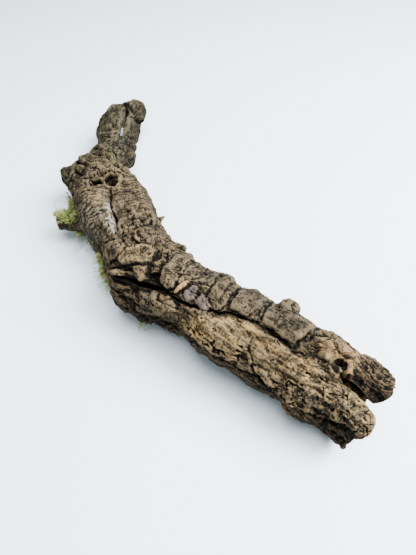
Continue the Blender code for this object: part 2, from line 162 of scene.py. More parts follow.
def curve_through(column, at):
    """A smooth curve through one column of the tube's table."""
    knots = TUBE[:, 0]
    values = TUBE[:, column]
    slopes = np.gradient(values, knots)
    low = np.clip(np.searchsorted(knots, at) - 1, 0, len(knots) - 2)
    step = knots[low + 1] - knots[low]
    t = (at - knots[low]) / step
    start = (1 + 2 * t) * (1 - t) ** 2 * values[low] + t * (1 - t) ** 2 * step * slopes[low]
    end = t * t * (3 - 2 * t) * values[low + 1] + t * t * (t - 1) * step * slopes[low + 1]
    return start + end


STEPS_ALONG = 1300
course_x = np.linspace(TUBE[0, 0], TUBE[-1, 0], STEPS_ALONG)
course_y = curve_through(1, course_x)
course_rise = np.gradient(course_y, course_x)
course_length = np.concatenate(([0], np.cumsum(np.hypot(np.diff(course_x), np.diff(course_y)))))
course_tree = kdtree.KDTree(STEPS_ALONG)
for n in range(STEPS_ALONG):
    course_tree.insert((course_x[n], course_y[n], 0), n)
course_tree.balance()


def on_tube(places):
    """Where places are on the tube: X along it, degrees round it, the direction out of it, the mean
    radius there, how far out they are as a share of it, and the tube's length up to there."""
    local = places - BEND
    nearest = np.array([course_tree.find((x, y, 0))[1] for x, y in local[:, :2]])
    x = course_x[nearest]
    rise = course_rise[nearest]
    side = np.stack((-rise, np.ones_like(rise)), 1) / np.hypot(rise, 1)[:, None]
    across = ((local[:, :2] - np.stack((x, course_y[nearest]), 1)) * side).sum(1)
    wide = curve_through(2, x)
    high = curve_through(3, x)
    up = local[:, 2] - curve_through(4, x) - high
    degrees = np.degrees(np.arctan2(across / wide, up / high))
    out = unit(np.column_stack((side * (across / wide ** 2)[:, None], up / high ** 2)))
    return x, degrees, out, (wide + high) / 2, np.hypot(across / wide, up / high), course_length[nearest]


places = mesh_array(bark.data)
normals = mesh_array(bark.data, "normal")
x, degrees, out, girth, far_out, length = on_tube(places)

# How much each place belongs to the wall's outside, stubs included, and how much relief it takes.
facing = (normals * out).sum(1)
on_stub = smooth_step(1.05, 1.15, far_out)
outside = np.maximum(smooth_step(-0.3, 0.15, facing) * smooth_step(0.55, 0.66, far_out), on_stub)
proud = outside * np.maximum(smooth_step(0.0, 0.6, facing), on_stub)

# Broad swells and dents of the whole wall: X, degrees, reach along, reach round, height.
DENTS = (
    (-0.314, 22, 0.01, 0.022, 0.0036), (-0.295, -54, 0.02, 0.015, 0.0012),
    (-0.305, 54, 0.008, 0.01, -0.0026), (-0.278, 98, 0.014, 0.018, -0.005),
    (-0.229, 86, 0.007, 0.014, 0.0072), (-0.197, 92, 0.011, 0.024, -0.0085),
    (-0.182, 98, 0.01, 0.022, -0.0062), (-0.156, -60, 0.011, 0.013, 0.0046),
    (-0.166, -80, 0.009, 0.012, -0.003), (-0.01, 52, 0.0055, 0.0055, -0.005),
    (0.045, 64, 0.012, 0.018, -0.008), (0.056, 48, 0.013, 0.018, -0.004), (0.087, 32, 0.013, 0.016, 0.005),
    (0.05, -106, 0.014, 0.016, 0.0034), (0.202, 46, 0.008, 0.012, -0.0016),
    (0.243, 44, 0.008, 0.012, 0.002), (0.266, 20, 0.01, 0.018, -0.0032), (0.268, -88, 0.008, 0.012, 0.004),
    (-0.302, 50, 0.01, 0.008, 0.001), (-0.288, 90, 0.008, 0.012, -0.0022),
)
for at_x, at_degrees, reach, around, rise in DENTS:
    round_away = np.radians((degrees - at_degrees + 180) % 360 - 180) * girth
    near = np.exp(-((x - at_x) / reach) ** 2 - (round_away / around) ** 2)
    places = places + out * (rise * near)[:, None]
set_places(bark.data, in_box(places))

# The same places with the tube laid straight, so that grain and plates can follow it.
turn = np.radians(degrees)
straight = np.column_stack((length, girth * np.sin(turn), girth * np.cos(turn)))

# From here on, only the crust: the places on the outside.
crust = np.nonzero(outside > 0.01)[0]
crust_x = x[crust]
crust_degrees = degrees[crust]
crust_girth = girth[crust]
crust_at = straight[crust]

# Noise starts from a fixed seed, so that every run gives the same bark.
NOISE_SEED = 7
noise.seed_set(NOISE_SEED)


def rough(at, wave, octaves, softness=0.9):
    """Uneven lumps about one wave long, mostly between -1 and 1, each octave 2.1 times finer than the
    last. A wave may differ by direction."""
    return np.array([noise.fractal(p, softness, 2.1, octaves) for p in (at / np.asarray(wave)).tolist()])


def drift(at, wave):
    """An uneven direction at each place, that changes over about one wave."""
    return np.array([noise.noise_vector(p) for p in (at / wave).tolist()])


def warped(at, wave, reach):
    return at + reach * drift(at, wave)


def along(*knots):
    """A strength that changes along the tube: pairs of X and value."""
    table = np.array(knots)
    return np.interp(crust_x, table[:, 0], table[:, 1])


def round_off(at_degrees):
    return np.radians((crust_degrees - at_degrees + 180) % 360 - 180) * crust_girth


def spot(at_x, at_degrees, reach, around):
    """1 at a place on the bark, and less away from it."""
    return np.exp(-((crust_x - at_x) / reach) ** 2 - (round_off(at_degrees) / around) ** 2)


def spots(*places_on_bark):
    return np.max([spot(*place) for place in places_on_bark], 0)


# The crust laid flat: metres along it and round it. Lines over it aren't drawn straight, so each place is
# read a little off its own: less so for the edges of plates, which are neat.
flat = np.column_stack((length[crust], np.radians(crust_degrees) * crust_girth))
wobble = drift(crust_at, 0.01)[:, :2]
shiver = drift(crust_at, 0.0032)[:, :2]
neat = flat + 0.001 * wobble + 0.0005 * shiver
flat = flat + 0.0019 * wobble + 0.0013 * shiver


def on_flat(course):
    """Where a course of X and degrees runs on the flat crust."""
    at_x, at_degrees = np.array(course, float).T
    radius = np.interp(at_x, course_x, (curve_through(2, course_x) + curve_through(3, course_x)) / 2)
    return np.column_stack((np.interp(at_x, course_x, course_length), np.radians(at_degrees) * radius))


def beside(course, closed=False, laid=flat):
    """How far each place is from a course of X and degrees over the bark, in metres, and on which side
    of it: 1 towards the back."""
    points = on_flat(course)
    ends = np.roll(points, -1, 0) if closed else points[1:]
    best = np.full(len(crust_x), 1.0)
    side = np.ones(len(crust_x))
    for a, b in zip(points, ends):
        run = b - a
        t = np.clip(((laid - a) @ run) / (run @ run), 0, 1)
        off = laid - a - t[:, None] * run
        distance = np.hypot(off[:, 0], off[:, 1])
        nearer = distance < best
        best = np.where(nearer, distance, best)
        side = np.where(nearer, np.sign(run[0] * off[:, 1] - run[1] * off[:, 0]), side)
    return best, side


def within(outline, laid=flat):
    """How far inside an outline of X and degrees each place lies, in metres. Below 0 is outside."""
    points = on_flat(outline)
    inside = np.zeros(len(crust_x), bool)
    for a, b in zip(points, np.roll(points, -1, 0)):
        if a[1] != b[1]:
            passes = (a[1] > laid[:, 1]) != (b[1] > laid[:, 1])
            crossing = a[0] + (b[0] - a[0]) * (laid[:, 1] - a[1]) / (b[1] - a[1])
            inside ^= passes & (laid[:, 0] < crossing)
    edge = beside(outline, True, laid)[0]
    return np.where(inside, edge, -edge)


# How deep grooves are cut, how edges are chipped and where the black shade painted along lines is broken off.
ragged = np.clip(0.75 + 0.7 * rough(crust_at, 0.0075, 3), 0.15, 1.25)
chips = rough(crust_at + 0.1, 0.0036, 3)
broken = smooth_step(-0.2, 0.3, rough(crust_at + 0.8, 0.0065, 3))

# What the carving adds to at each place: how far the crust rises, how black it is painted as shade in its
# grooves, cracks, pits and holes, and how much paler or darker: its own paler plates, painted highlight on
# crests with painted shade below them, and raised flakes paler than sunk ones.
relief = np.zeros(len(crust_x))
painted_shade = np.zeros(len(crust_x))
pale_and_highlight = np.zeros(len(crust_x))


def paint_shade(share):
    """Paints black shade into the crust by a share from 0 to 1, where it isn't blacker already."""
    painted_shade[:] = np.maximum(painted_shade, share)


# The smooth ochre strip down the front, the worn ledge under it, and how broken the crust is along the tube.
strip_inside = within((
    (0.101, -62), (0.112, -43), (0.123, -34), (0.13, -27), (0.139, -13), (0.154, -12), (0.162, -6),
    (0.183, -12), (0.197, -15), (0.208, -20), (0.214, -30), (0.211, -46), (0.203, -54), (0.19, -60),
    (0.171, -58), (0.161, -68), (0.149, -68), (0.135, -70), (0.115, -72), (0.102, -76),
))
strip = smooth_step(-0.002, 0.004, strip_inside)
below_strip = spots(
    (0.06, -110, 0.03, 0.02), (0.11, -100, 0.03, 0.022), (0.145, -98, 0.03, 0.022),
    (0.19, -98, 0.03, 0.022), (0.23, -94, 0.03, 0.02), (0.255, -90, 0.02, 0.018),
)
rugged = along(
    (-0.35, 0.15), (-0.22, 0.15), (-0.18, 0.7), (-0.11, 0.7), (-0.07, 0.25), (-0.02, 0.5), (0.0, 1.0),
    (0.075, 1.0), (0.11, 0.6), (0.12, 0.32), (0.19, 0.32), (0.215, 0.9), (0.3, 1.0),
)

# Smooth rolls of fresh cork round the knot hole of the forked end: outline and height.
ROLLS = (
    (((0.208, 14), (0.212, 20), (0.216, 26), (0.221, 34), (0.227, 46), (0.234, 42), (0.237, 26),
      (0.233, 17), (0.229, 16), (0.226, 12), (0.224, 2), (0.223, -6), (0.219, -7), (0.214, -4),
      (0.21, 4)), 0.0042),
    (((0.231, 14), (0.235, 14), (0.239, 5), (0.242, -10), (0.237, -13), (0.232, -8), (0.2335, 0)), 0.0032),
    (((0.222, -24), (0.224, -18), (0.229, -11), (0.232, -9), (0.23, -18), (0.226, -25)), 0.0016),
)
ROLL_EDGE = 0.008
fresh = np.zeros(len(crust_x))
uneven = 1 + 0.3 * rough(crust_at + 0.2, 0.0075, 3)
for outline, rise in ROLLS:
    depth = within(outline)
    relief += rise * np.sqrt(np.clip(depth / ROLL_EDGE, 0, 1)) * uneven
    fresh = np.maximum(fresh, smooth_step(-0.0014, 0.0014, depth))
rugged = np.clip(rugged * (1 - 0.85 * strip) + 0.4 * below_strip, 0, 1) * (1 - 0.75 * fresh)

# Smooth swells and hollows: X, degrees, reach along, reach round, height.
SWELLS = (
    (-0.221, 48, 0.014, 0.012, -0.0036), (-0.246, 50, 0.006, 0.011, 0.0018),
    (-0.237, 34, 0.005, 0.006, 0.0022), (-0.12, -4, 0.009, 0.01, 0.0022),
    (-0.128, -30, 0.012, 0.01, -0.003), (-0.148, -20, 0.012, 0.01, 0.002),
    (-0.0945, 8, 0.011, 0.01, -0.0012), (-0.0975, -14, 0.008, 0.008, -0.0012),
    (-0.072, -44, 0.02, 0.018, 0.0012), (-0.062, 26, 0.022, 0.022, 0.0012),
    (0.008, -40, 0.011, 0.012, 0.0022), (0.012, 4, 0.01, 0.012, 0.002), (0.04, -14, 0.01, 0.014, 0.0016),
    (0.048, -46, 0.008, 0.007, -0.005), (0.064, -27, 0.006, 0.009, -0.005),
    (0.052, -62, 0.01, 0.007, -0.005), (0.042, -80, 0.013, 0.012, 0.0018),
    (0.057, -80, 0.006, 0.01, -0.003), (0.082, -56, 0.014, 0.01, 0.0036),
    (0.104, -50, 0.009, 0.008, -0.0016), (0.076, 4, 0.009, 0.02, 0.0012),
    (0.08, -116, 0.022, 0.014, -0.0035), (0.15, -114, 0.026, 0.012, -0.003),
    (0.188, -4, 0.008, 0.006, -0.0018), (0.166, -54, 0.005, 0.009, -0.002),
    (0.206, 2, 0.007, 0.007, -0.0022), (0.251, -6, 0.014, 0.01, -0.0025), (0.26, 44, 0.008, 0.012, -0.0014),
    (0.243, -92, 0.012, 0.012, -0.0025), (0.272, -70, 0.01, 0.012, -0.002),
)
for *place, rise in SWELLS:
    relief += rise * spot(*place)

# Low lumps all over, and a bold patch of them on the back before the forked end.
relief += 0.0012 * rough(crust_at, 0.026, 3)
relief += 0.005 * spot(0.173, 46, 0.01, 0.014) * rough(crust_at + 0.35, 0.008, 3)
relief += (0.0003 + 0.0005 * rugged) * rough(warped(crust_at, 0.012, 0.004), (0.016, 0.009, 0.009), 3, 0.8)

# Plates of bark with sharp broken edges: outline, height, how much paler, and for a few a colour of their
# own. The gap beside a plate is a groove whose middle lies just outside its edge, with black shade painted
# in it.
PLATES = (
    (((0.031, -37), (0.03, -20), (0.032, -9), (0.036, 4), (0.045, 4), (0.052, -5), (0.054, -13),
      (0.052, -20), (0.046, -25), (0.04, -31), (0.037, -37)), 0.0038, 0.45),
    (((0.033, -56), (0.034, -48), (0.039, -40), (0.043, -43), (0.041, -53), (0.037, -60)), 0.0032, 0.5),
    (((0.047, -28), (0.05, -23), (0.055, -19), (0.057, -27), (0.059, -38), (0.054, -39),
      (0.049, -37)), 0.0036, 0.5),
    (((-0.014, -66), (-0.012, -47), (-0.006, -33), (0.01, -21), (0.025, -20), (0.028, -27), (0.028, -40),
      (0.026, -50), (0.02, -58), (0.0, -66)), 0.002, 0.1),
    (((0.014, -8), (0.016, -2), (0.024, -1), (0.027, -3), (0.023, -6)), 0.0016, 0.6),
    (((0.068, 12), (0.073, 24), (0.083, 26), (0.085, -2), (0.086, -14), (0.088, -24), (0.083, -28),
      (0.075, -27), (0.068, -16)), 0.0012, 0.1),
    (((0.089, -20), (0.087, 0), (0.086, 26), (0.096, 34), (0.109, 34), (0.111, 14), (0.112, 2),
      (0.104, 0), (0.098, -6)), 0.0012, 0.0),
    (((0.089, -28), (0.091, -19), (0.094, -10), (0.0965, -10), (0.0955, -20),
      (0.092, -29)), 0.0018, 0.0, "orange"),
    (((0.097, -27), (0.098, -18), (0.1, -11), (0.104, -9), (0.106, -15), (0.107, -26),
      (0.103, -30)), 0.0018, 0.0, "mauve"),
    (((0.107, -27), (0.108, -18), (0.11, -13), (0.115, -14), (0.121, -19), (0.122, -27),
      (0.115, -29)), 0.0022, 0.1, "mauve"),
    (((0.173, -57), (0.176, -52), (0.184, -53), (0.19, -58), (0.194, -66), (0.186, -68),
      (0.177, -63)), 0.0013, 0.5),
    (((0.114, -12), (0.114, 14), (0.116, 36), (0.129, 36), (0.129, 8), (0.131, -8), (0.127, -20),
      (0.121, -24)), 0.0012, 0.0),
    (((0.132, 34), (0.133, 10), (0.135, -8), (0.143, -4), (0.152, -3), (0.156, 10), (0.156, 44),
      (0.144, 48)), 0.0016, 0.0),
    (((0.161, 46), (0.163, 18), (0.163, 2), (0.173, 0), (0.184, -5), (0.193, -3), (0.196, 10),
      (0.199, 30), (0.2, 50), (0.182, 56)), 0.0016, 0.0),
)
PLATE_EDGE = 0.001
GAP_OFF = 0.0011
GAP_WIDTH = 0.001
on_plate = np.zeros(len(crust_x))
own_colour = {"orange": np.zeros(len(crust_x)), "mauve": np.zeros(len(crust_x))}
for outline, rise, paleness, *named in PLATES:
    depth = within(outline, neat) + 0.0003 * chips
    relief += rise * smooth_step(-0.5 * PLATE_EDGE, 0.5 * PLATE_EDGE, depth)
    relief -= 0.3 * rise * smooth_step(0.001, 0.008, depth)
    gap = np.exp(-(((depth + GAP_OFF) / GAP_WIDTH) ** 2))
    relief -= 0.001 * gap * ragged
    paint_shade(min(1, (rise / 0.003) ** 2) * gap * (0.25 + 0.75 * broken))
    pale_and_highlight += paleness * smooth_step(0, 0.0012, depth)
    on_plate = np.maximum(on_plate, smooth_step(-0.001, 0.002, depth))
    for name in named:
        own_colour[name] = np.maximum(own_colour[name], smooth_step(-0.0006, 0.0006, depth))
pale_places = pale_and_highlight.copy()

# Grooves, folds and ridges that are seen one by one: course, height, half width, and for some how much
# higher the bark stands on the side towards the back. A groove's height is below 0. Grooves get black
# shade painted in them, and ridges a paler painted highlight.
LINES = (
    # Thin end.
    (((-0.314, 20), (-0.305, 20), (-0.297, 28), (-0.278, 32), (-0.275, 33)), -0.0048, 0.0017, 0.0012),
    (((-0.279, 40), (-0.282, 56), (-0.29, 74), (-0.297, 92)), -0.0056, 0.0026),
    (((-0.24, -44), (-0.234, -24), (-0.228, -4), (-0.23, 12), (-0.24, 24)), 0.0014, 0.0024, -0.0018),
    (((-0.247, 30), (-0.249, 46), (-0.249, 62), (-0.256, 84)), 0.0022, 0.0022),
    (((-0.222, -6), (-0.224, 10), (-0.226, 24)), -0.0022, 0.002),
    (((-0.236, 34), (-0.238, 50), (-0.24, 66), (-0.246, 82)), -0.0048, 0.0026),
    (((-0.274, 36), (-0.262, 41), (-0.252, 46)), 0.0016, 0.0028),
    (((-0.226, -30), (-0.22, -14), (-0.21, 2)), -0.0026, 0.0016),
    (((-0.212, -44), (-0.208, -28), (-0.202, -14), (-0.204, -2)), -0.0014, 0.0014),
    # Neck: its long folds run back and round to the shoulder.
    (((-0.194, -36), (-0.191, -20), (-0.181, -6), (-0.174, 8)), 0.003, 0.0026),
    (((-0.182, -44), (-0.175, -28), (-0.167, -14), (-0.162, -2), (-0.16, 10),
      (-0.159, 20)), -0.007, 0.0028),
    (((-0.158, 14), (-0.15, 22), (-0.138, 29), (-0.124, 34), (-0.106, 36)), -0.0066, 0.002, 0.0018),
    (((-0.166, 26), (-0.154, 33), (-0.142, 40), (-0.128, 45)), -0.005, 0.0017, 0.0014),
    (((-0.176, 30), (-0.166, 42), (-0.154, 52), (-0.14, 58)), -0.0052, 0.0018, 0.0012),
    (((-0.152, 4), (-0.149, 18), (-0.14, 26), (-0.118, 25)), -0.0044, 0.0016),
    (((-0.141, -50), (-0.139, -60), (-0.141, -70)), 0.0026, 0.0012),
    (((-0.161, 21), (-0.147, 30), (-0.13, 38)), 0.0026, 0.0018),
    (((-0.2, 30), (-0.184, 44), (-0.17, 60)), -0.0014, 0.0016, 0.001),
    (((-0.214, -20), (-0.2, -6), (-0.19, 10), (-0.186, 26)), -0.0012, 0.0014),
    (((-0.156, -44), (-0.146, -32), (-0.138, -20), (-0.134, -6)), -0.0056, 0.0022),
    (((-0.14, -46), (-0.126, -34), (-0.118, -22), (-0.116, -8)), -0.0054, 0.002),
    (((-0.148, -38), (-0.134, -26), (-0.126, -14), (-0.124, 0)), 0.0018, 0.002),
    (((-0.132, 0), (-0.126, 12), (-0.114, 20), (-0.1, 26), (-0.094, 34)), 0.002, 0.0018),
    (((-0.116, 4), (-0.11, 16), (-0.102, 24)), 0.0014, 0.0014),
    # The shoulder's knot hole and the hollow beside it, with the folded ledge under both.
    (((-0.082, 15), (-0.09, 20), (-0.1, 18), (-0.106, 8), (-0.103, -4)), 0.0032, 0.0016),
    (((-0.103, -24), (-0.101, -15), (-0.1, -10)), -0.005, 0.0026),
    (((-0.112, -30), (-0.108, -18), (-0.109, -6)), -0.0026, 0.0014),
    (((-0.097, -44), (-0.095, -30), (-0.091, -16), (-0.084, -5), (-0.08, 4)), 0.0024, 0.0013),
    (((-0.091, -44), (-0.088, -30), (-0.084, -18), (-0.078, -8)), -0.0016, 0.0011),
    (((-0.086, -46), (-0.082, -30), (-0.079, -18), (-0.073, -7)), 0.0018, 0.0012),
    (((-0.08, 2), (-0.069, -4), (-0.057, -9), (-0.047, -13), (-0.04, -17), (-0.027, -22),
      (-0.014, -26)), -0.0026, 0.0011, 0.0012),
    (((-0.016, -60), (-0.013, -46), (-0.004, -30), (-0.002, -10), (-0.008, 8), (-0.012, 32),
      (-0.01, 46)), -0.0036, 0.0016, 0.001),
    (((-0.02, 2), (-0.016, 18), (-0.02, 34)), -0.0016, 0.0012),
    (((0.006, -14), (0.012, -2), (0.006, 12), (0.0, 26)), -0.0022, 0.0013, 0.001),
    (((0.022, 10), (0.018, 24), (0.012, 38)), -0.003, 0.0018),
    (((0.026, 28), (0.032, 42), (0.036, 56)), -0.002, 0.0016),
    # The bend: grooves between its blocks.
    (((0.036, 10), (0.046, 9), (0.053, 2), (0.056, -12), (0.059, -26)), -0.0042, 0.0015),
    (((0.03, -38), (0.04, -38), (0.047, -32), (0.056, -42)), -0.004, 0.0018),
    (((0.058, 16), (0.064, 4), (0.063, -11), (0.065, -26)), -0.003, 0.0014),
    (((0.05, 16), (0.058, 8), (0.06, -8), (0.061, -24)), 0.0014, 0.0014),
    (((0.04, 26), (0.052, 22), (0.066, 26)), -0.0016, 0.0012),
    (((0.062, -66), (0.06, -78), (0.058, -92)), -0.003, 0.0022),
    (((0.066, -64), (0.069, -50), (0.074, -42), (0.084, -40), (0.093, -45),
      (0.096, -52)), 0.0014, 0.0018, -0.002),
    (((0.06, -64), (0.066, -76), (0.07, -90)), -0.002, 0.0016),
    # The back: rings across it.
    (((0.076, 66), (0.083, 26), (0.084, 3), (0.085, -12), (0.089, -26)), -0.0024, 0.001),
    (((0.08, 66), (0.087, 26), (0.088, 2)), -0.001, 0.001),
    (((0.095, -10), (0.098, 3), (0.1, 18)), -0.0024, 0.0014),
    (((0.108, 60), (0.111, 36), (0.112, 14), (0.112, -4), (0.114, -12)), -0.0013, 0.0012),
    (((0.13, 60), (0.13, 28), (0.13, 4), (0.133, -8)), -0.0015, 0.0012),
    (((0.124, 34), (0.124, 12), (0.126, -10)), -0.0012, 0.0009),
    (((0.158, 66), (0.159, 40), (0.16, 16), (0.158, 4)), -0.0026, 0.0016, -0.0008),
    # The long split between the back and the ochre strip, where the back stands higher.
    (((0.09, -33), (0.098, -37), (0.11, -33), (0.121, -28), (0.129, -20), (0.139, -10), (0.15, -6),
      (0.165, -3), (0.179, -5), (0.188, -8), (0.197, -8)), -0.0026, 0.0012, 0.0026),
    (((0.195, -9), (0.196, 2), (0.198, 16), (0.201, 26)), -0.0054, 0.0019),
    (((0.2, 22), (0.203, 32), (0.208, 40), (0.214, 44), (0.219, 56)), -0.0064, 0.0026, -0.0014),
    (((0.164, -36), (0.163, -46), (0.162, -56), (0.161, -66)), -0.0016, 0.0028),
    (((0.165, -36), (0.166, -43), (0.17, -51), (0.174, -60)), -0.0024, 0.0012, -0.0016),
    # The forked end: folds in its rolls of fresh cork, and the crevice beside the knob.
    (((0.211, 20), (0.216, 12), (0.221, 2)), -0.0018, 0.0013),
    (((0.213, 30), (0.219, 20), (0.226, 16)), -0.0014, 0.0011),
    (((0.216, 30), (0.224, 24), (0.233, 24)), -0.0012, 0.0012),
    (((0.238, -16), (0.244, -12), (0.254, -15), (0.266, -19)), -0.004, 0.0032),
    (((0.212, -66), (0.226, -65), (0.239, -65), (0.247, -80)), -0.003, 0.002),
    (((0.2, -38), (0.214, -34), (0.23, -36), (0.25, -38)), 0.001, 0.0024),
    (((0.206, -46), (0.222, -50), (0.246, -52), (0.262, -56)), -0.0012, 0.0012),
    (((0.1, -80), (0.126, -76), (0.149, -71), (0.161, -74), (0.176, -68), (0.189, -73), (0.205, -76),
      (0.222, -72), (0.24, -68), (0.262, -64)), -0.0024, 0.0018, 0.0036),
)
STEP_REACH = 0.009
for course, rise, width, *higher in LINES:
    off, side = beside(course)
    evenness = min(1, max(0, -rise - 0.003) / 0.002)
    line = np.exp(-((off / width) ** 2)) * (1 if rise > 0 else np.maximum(ragged, 0.8 * evenness))
    relief += rise * line
    for step in higher:
        relief += 0.5 * step * side * smooth_step(0, width, off) * np.exp(-((off / STEP_REACH) ** 2))
    if rise < 0:
        black = min(1, (rise / 0.0032) ** 2) * smooth_step(0.45, 0.95, line)
        paint_shade(black * (0.45 + 0.55 * np.maximum(broken, 0.7 * evenness)))
    else:
        pale_and_highlight += 0.35 * line

# The valley across the bend, between its blocks and the long split, painted black as shade. Its far part is
# shut here and there by bark that fell in, where less shade is painted.
VALLEY = (
    (0.034, -60), (0.037, -55), (0.042, -50), (0.045, -43), (0.05, -41), (0.057, -40), (0.061, -36),
    (0.061, -24), (0.066, -18), (0.07, -26), (0.078, -31), (0.09, -31), (0.097, -38), (0.094, -42),
    (0.087, -40), (0.075, -43), (0.067, -46), (0.063, -49), (0.055, -54), (0.05, -56), (0.043, -63),
    (0.038, -65),
)
valley = smooth_step(-0.0012, 0.0012, within(VALLEY) + 0.0014 * chips)
relief -= valley * (0.003 + 0.0024 * chips)
shut = smooth_step(0.058, 0.07, crust_x) * smooth_step(-0.1, 0.35, rough(crust_at + 0.65, 0.008, 3))
relief += 0.0016 * valley * shut
paint_shade(valley * (1 - 0.65 * shut))

# Holes, painted black inside as shade, with how deep they are: the shoulder's knot hole and the small one
# beside it, and the knot hole in the rolls of the forked end.
HOLES = (
    (((-0.101, 1), (-0.103, 9), (-0.098, 15), (-0.088, 15), (-0.079, 11), (-0.077, 6), (-0.083, 1),
      (-0.094, -1)), 0.0076),
    (((-0.105, -23), (-0.105, -13), (-0.102, -8), (-0.094, -10), (-0.091, -15), (-0.098, -21)), 0.004),
    (((0.223, -8), (0.2245, 2), (0.2265, 11), (0.2305, 13), (0.2325, 6), (0.2325, -4),
      (0.2275, -10)), 0.007),
)
for outline, depth in HOLES:
    inside_hole = smooth_step(-0.0008, 0.001, within(outline) + 0.0006 * chips)
    relief -= depth * inside_hole
    paint_shade(inside_hole)

# The long split is wider in the imported model than on the real bark, so its sides grow together. Towards the
# bend, crumbs of bark lie in it, and less black shade is painted on them.
SPLIT = ((0.121, -28), (0.129, -20), (0.139, -10), (0.15, -6), (0.165, -3), (0.179, -5), (0.197, -8))
relief += 0.0012 * np.exp(-((beside(SPLIT)[0] / 0.0045) ** 2))
CRUMBLED = ((0.068, -38), (0.08, -37), (0.096, -38), (0.108, -34), (0.121, -28))
crumbs = np.exp(-((beside(CRUMBLED)[0] / 0.004) ** 2))
crumbs *= np.clip(0.35 + 1.2 * rough(crust_at + 0.65, 0.0075, 2), 0, 1)
relief += 0.0028 * crumbs
painted_shade *= 1 - 0.6 * crumbs

# A few sharp flakes that stick out of the outline: X, degrees, height.
FLAKES = ((-0.027, 62, 0.009), (0.213, -102, 0.007), (0.262, -104, 0.006))
FLAKE_REACH = 0.0028
for at_x, at_degrees, rise in FLAKES:
    relief += rise * spot(at_x, at_degrees, FLAKE_REACH, FLAKE_REACH)


def ridges(phase):
    """Round ridges from 0 to 1 with sharp grooves between them, one for each whole number of the phase."""
    return np.abs(np.sin(math.pi * phase))


# Wrinkles round the shoulder: bold on its front lobe and faint on its back bulge. On the lobe, black shade
# is painted in the grooves and a paler highlight on the crests; on the bulge, crests are painted paler and
# grooves darker, as highlight and shade.
lobe = np.maximum(spot(-0.076, -46, 0.017, 0.024), 0.8 * spot(-0.054, -44, 0.014, 0.018))
lobe *= np.clip(0.8 + 0.5 * rough(crust_at, 0.011, 2), 0.2, 1.2)
slanted = flat[:, 0] - 0.55 * np.minimum(flat[:, 1] + 0.01, 0)
wrinkle = ridges(slanted / 0.006 + 0.55 * rough(crust_at, 0.014, 3))
relief += lobe * 0.0022 * (wrinkle - 0.6)
paint_shade(0.75 * lobe * smooth_step(0.42, 0.1, wrinkle))
pale_and_highlight += 0.4 * lobe * smooth_step(0.6, 1.0, wrinkle)
bulge = np.maximum(spot(-0.076, 26, 0.012, 0.022), spot(-0.05, 30, 0.02, 0.024))
wrinkle = ridges(flat[:, 0] / 0.0044 + 0.5 * rough(crust_at, 0.012, 2))
relief += bulge * 0.0006 * (wrinkle - 0.6)
pale_and_highlight += 0.3 * bulge * (wrinkle - 0.6)

# The ribs that wrap the knob of the forked end, painted paler on their crests as highlight and black
# between them as shade.
knob = smooth_step(0.238, 0.246, crust_x) * smooth_step(-18, -8, crust_degrees)
knob *= smooth_step(110, 80, crust_degrees)
slanted = (round_off(0) + 0.35 * (crust_x - 0.25)) / 0.0066
rib = ridges(slanted + 1.2 * rough(crust_at, (0.016, 0.008, 0.008), 3))
relief += knob * 0.0026 * ragged * (rib - 0.6)
pale_and_highlight += 0.9 * knob * (rib - 0.5)
paint_shade(0.8 * knob * smooth_step(0.5, 0.15, rib))

# The whole crust grows by this much, as the carving takes off more than it adds.
GROWN = 0.0006


def push(mesh, amount):
    """Moves the crust in or out along its own normals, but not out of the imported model's box."""
    shift = np.zeros(len(mesh.vertices))
    shift[crust] = amount * proud[crust]
    set_places(mesh, in_box(mesh_array(mesh) + mesh_array(mesh, "normal") * shift[:, None]))


push(bark.data, relief + GROWN)

# The grain runs along the tube on the strip and the forked end, and round it on the shoulder and the back.
across = along(
    (-0.35, 0.1), (-0.19, 0.2), (-0.16, 0.3), (-0.11, 0.5), (-0.09, 0.9), (-0.02, 0.7), (0.01, 0.3),
    (0.3, 0.1),
)
rings = spots((0.078, 8, 0.014, 0.03), (0.1, 18, 0.014, 0.024), (0.122, 16, 0.014, 0.024))
across = np.clip(np.maximum(across, 0.9 * rings) * (1 - strip), 0, 1)

# The fine relief stands square to the broad one: fibres, short cracks, flakes and pits.
bent = warped(crust_at, 0.008, 0.0022)
lengthwise = rough(bent, (0.02, 0.0034, 0.0034), 3, 0.8)
crosswise = rough(bent + 0.3, (0.0034, 0.016, 0.016), 3, 0.8)
fibre = (1 - across) * lengthwise + across * crosswise
fine_relief = (0.00045 + 0.00045 * rugged) * fibre
long_crack = rough(bent + 0.6, (0.03, 0.0062, 0.0062), 3, 0.8)
cross_crack = rough(bent + 0.9, (0.0062, 0.024, 0.024), 3, 0.8)
crack = (1 - across) * long_crack + across * cross_crack
crack = 1 - smooth_step(0.02, 0.07, np.abs(crack))
crack *= smooth_step(0.05, 0.3, rough(crust_at + 0.4, 0.013, 2) + 0.25 * rugged) * (0.35 + 0.65 * rugged)
crack *= 1 - 0.7 * bulge
crack *= 1 - 0.6 * on_plate
fine_relief -= 0.0011 * crack
# The short cracks get black shade painted in them, broken here and there.
paint_shade(0.75 * crack * (0.3 + 0.7 * broken))


def flakes(at, size):
    """Broken flakes: how far each place is from its flake's edge, as a share of their size, and a level
    from 0 to 1 for its flake."""
    found = [noise.voronoi(p) for p in (at / np.asarray(size)).tolist()]
    apart = np.array([distances[:2] for distances, _ in found])
    middle = np.array([points[0][:] for _, points in found])
    level = np.modf(np.abs(np.sin(middle @ np.array((12.9, 78.2, 37.7)))) * 437.5)[0]
    return apart[:, 1] - apart[:, 0], level


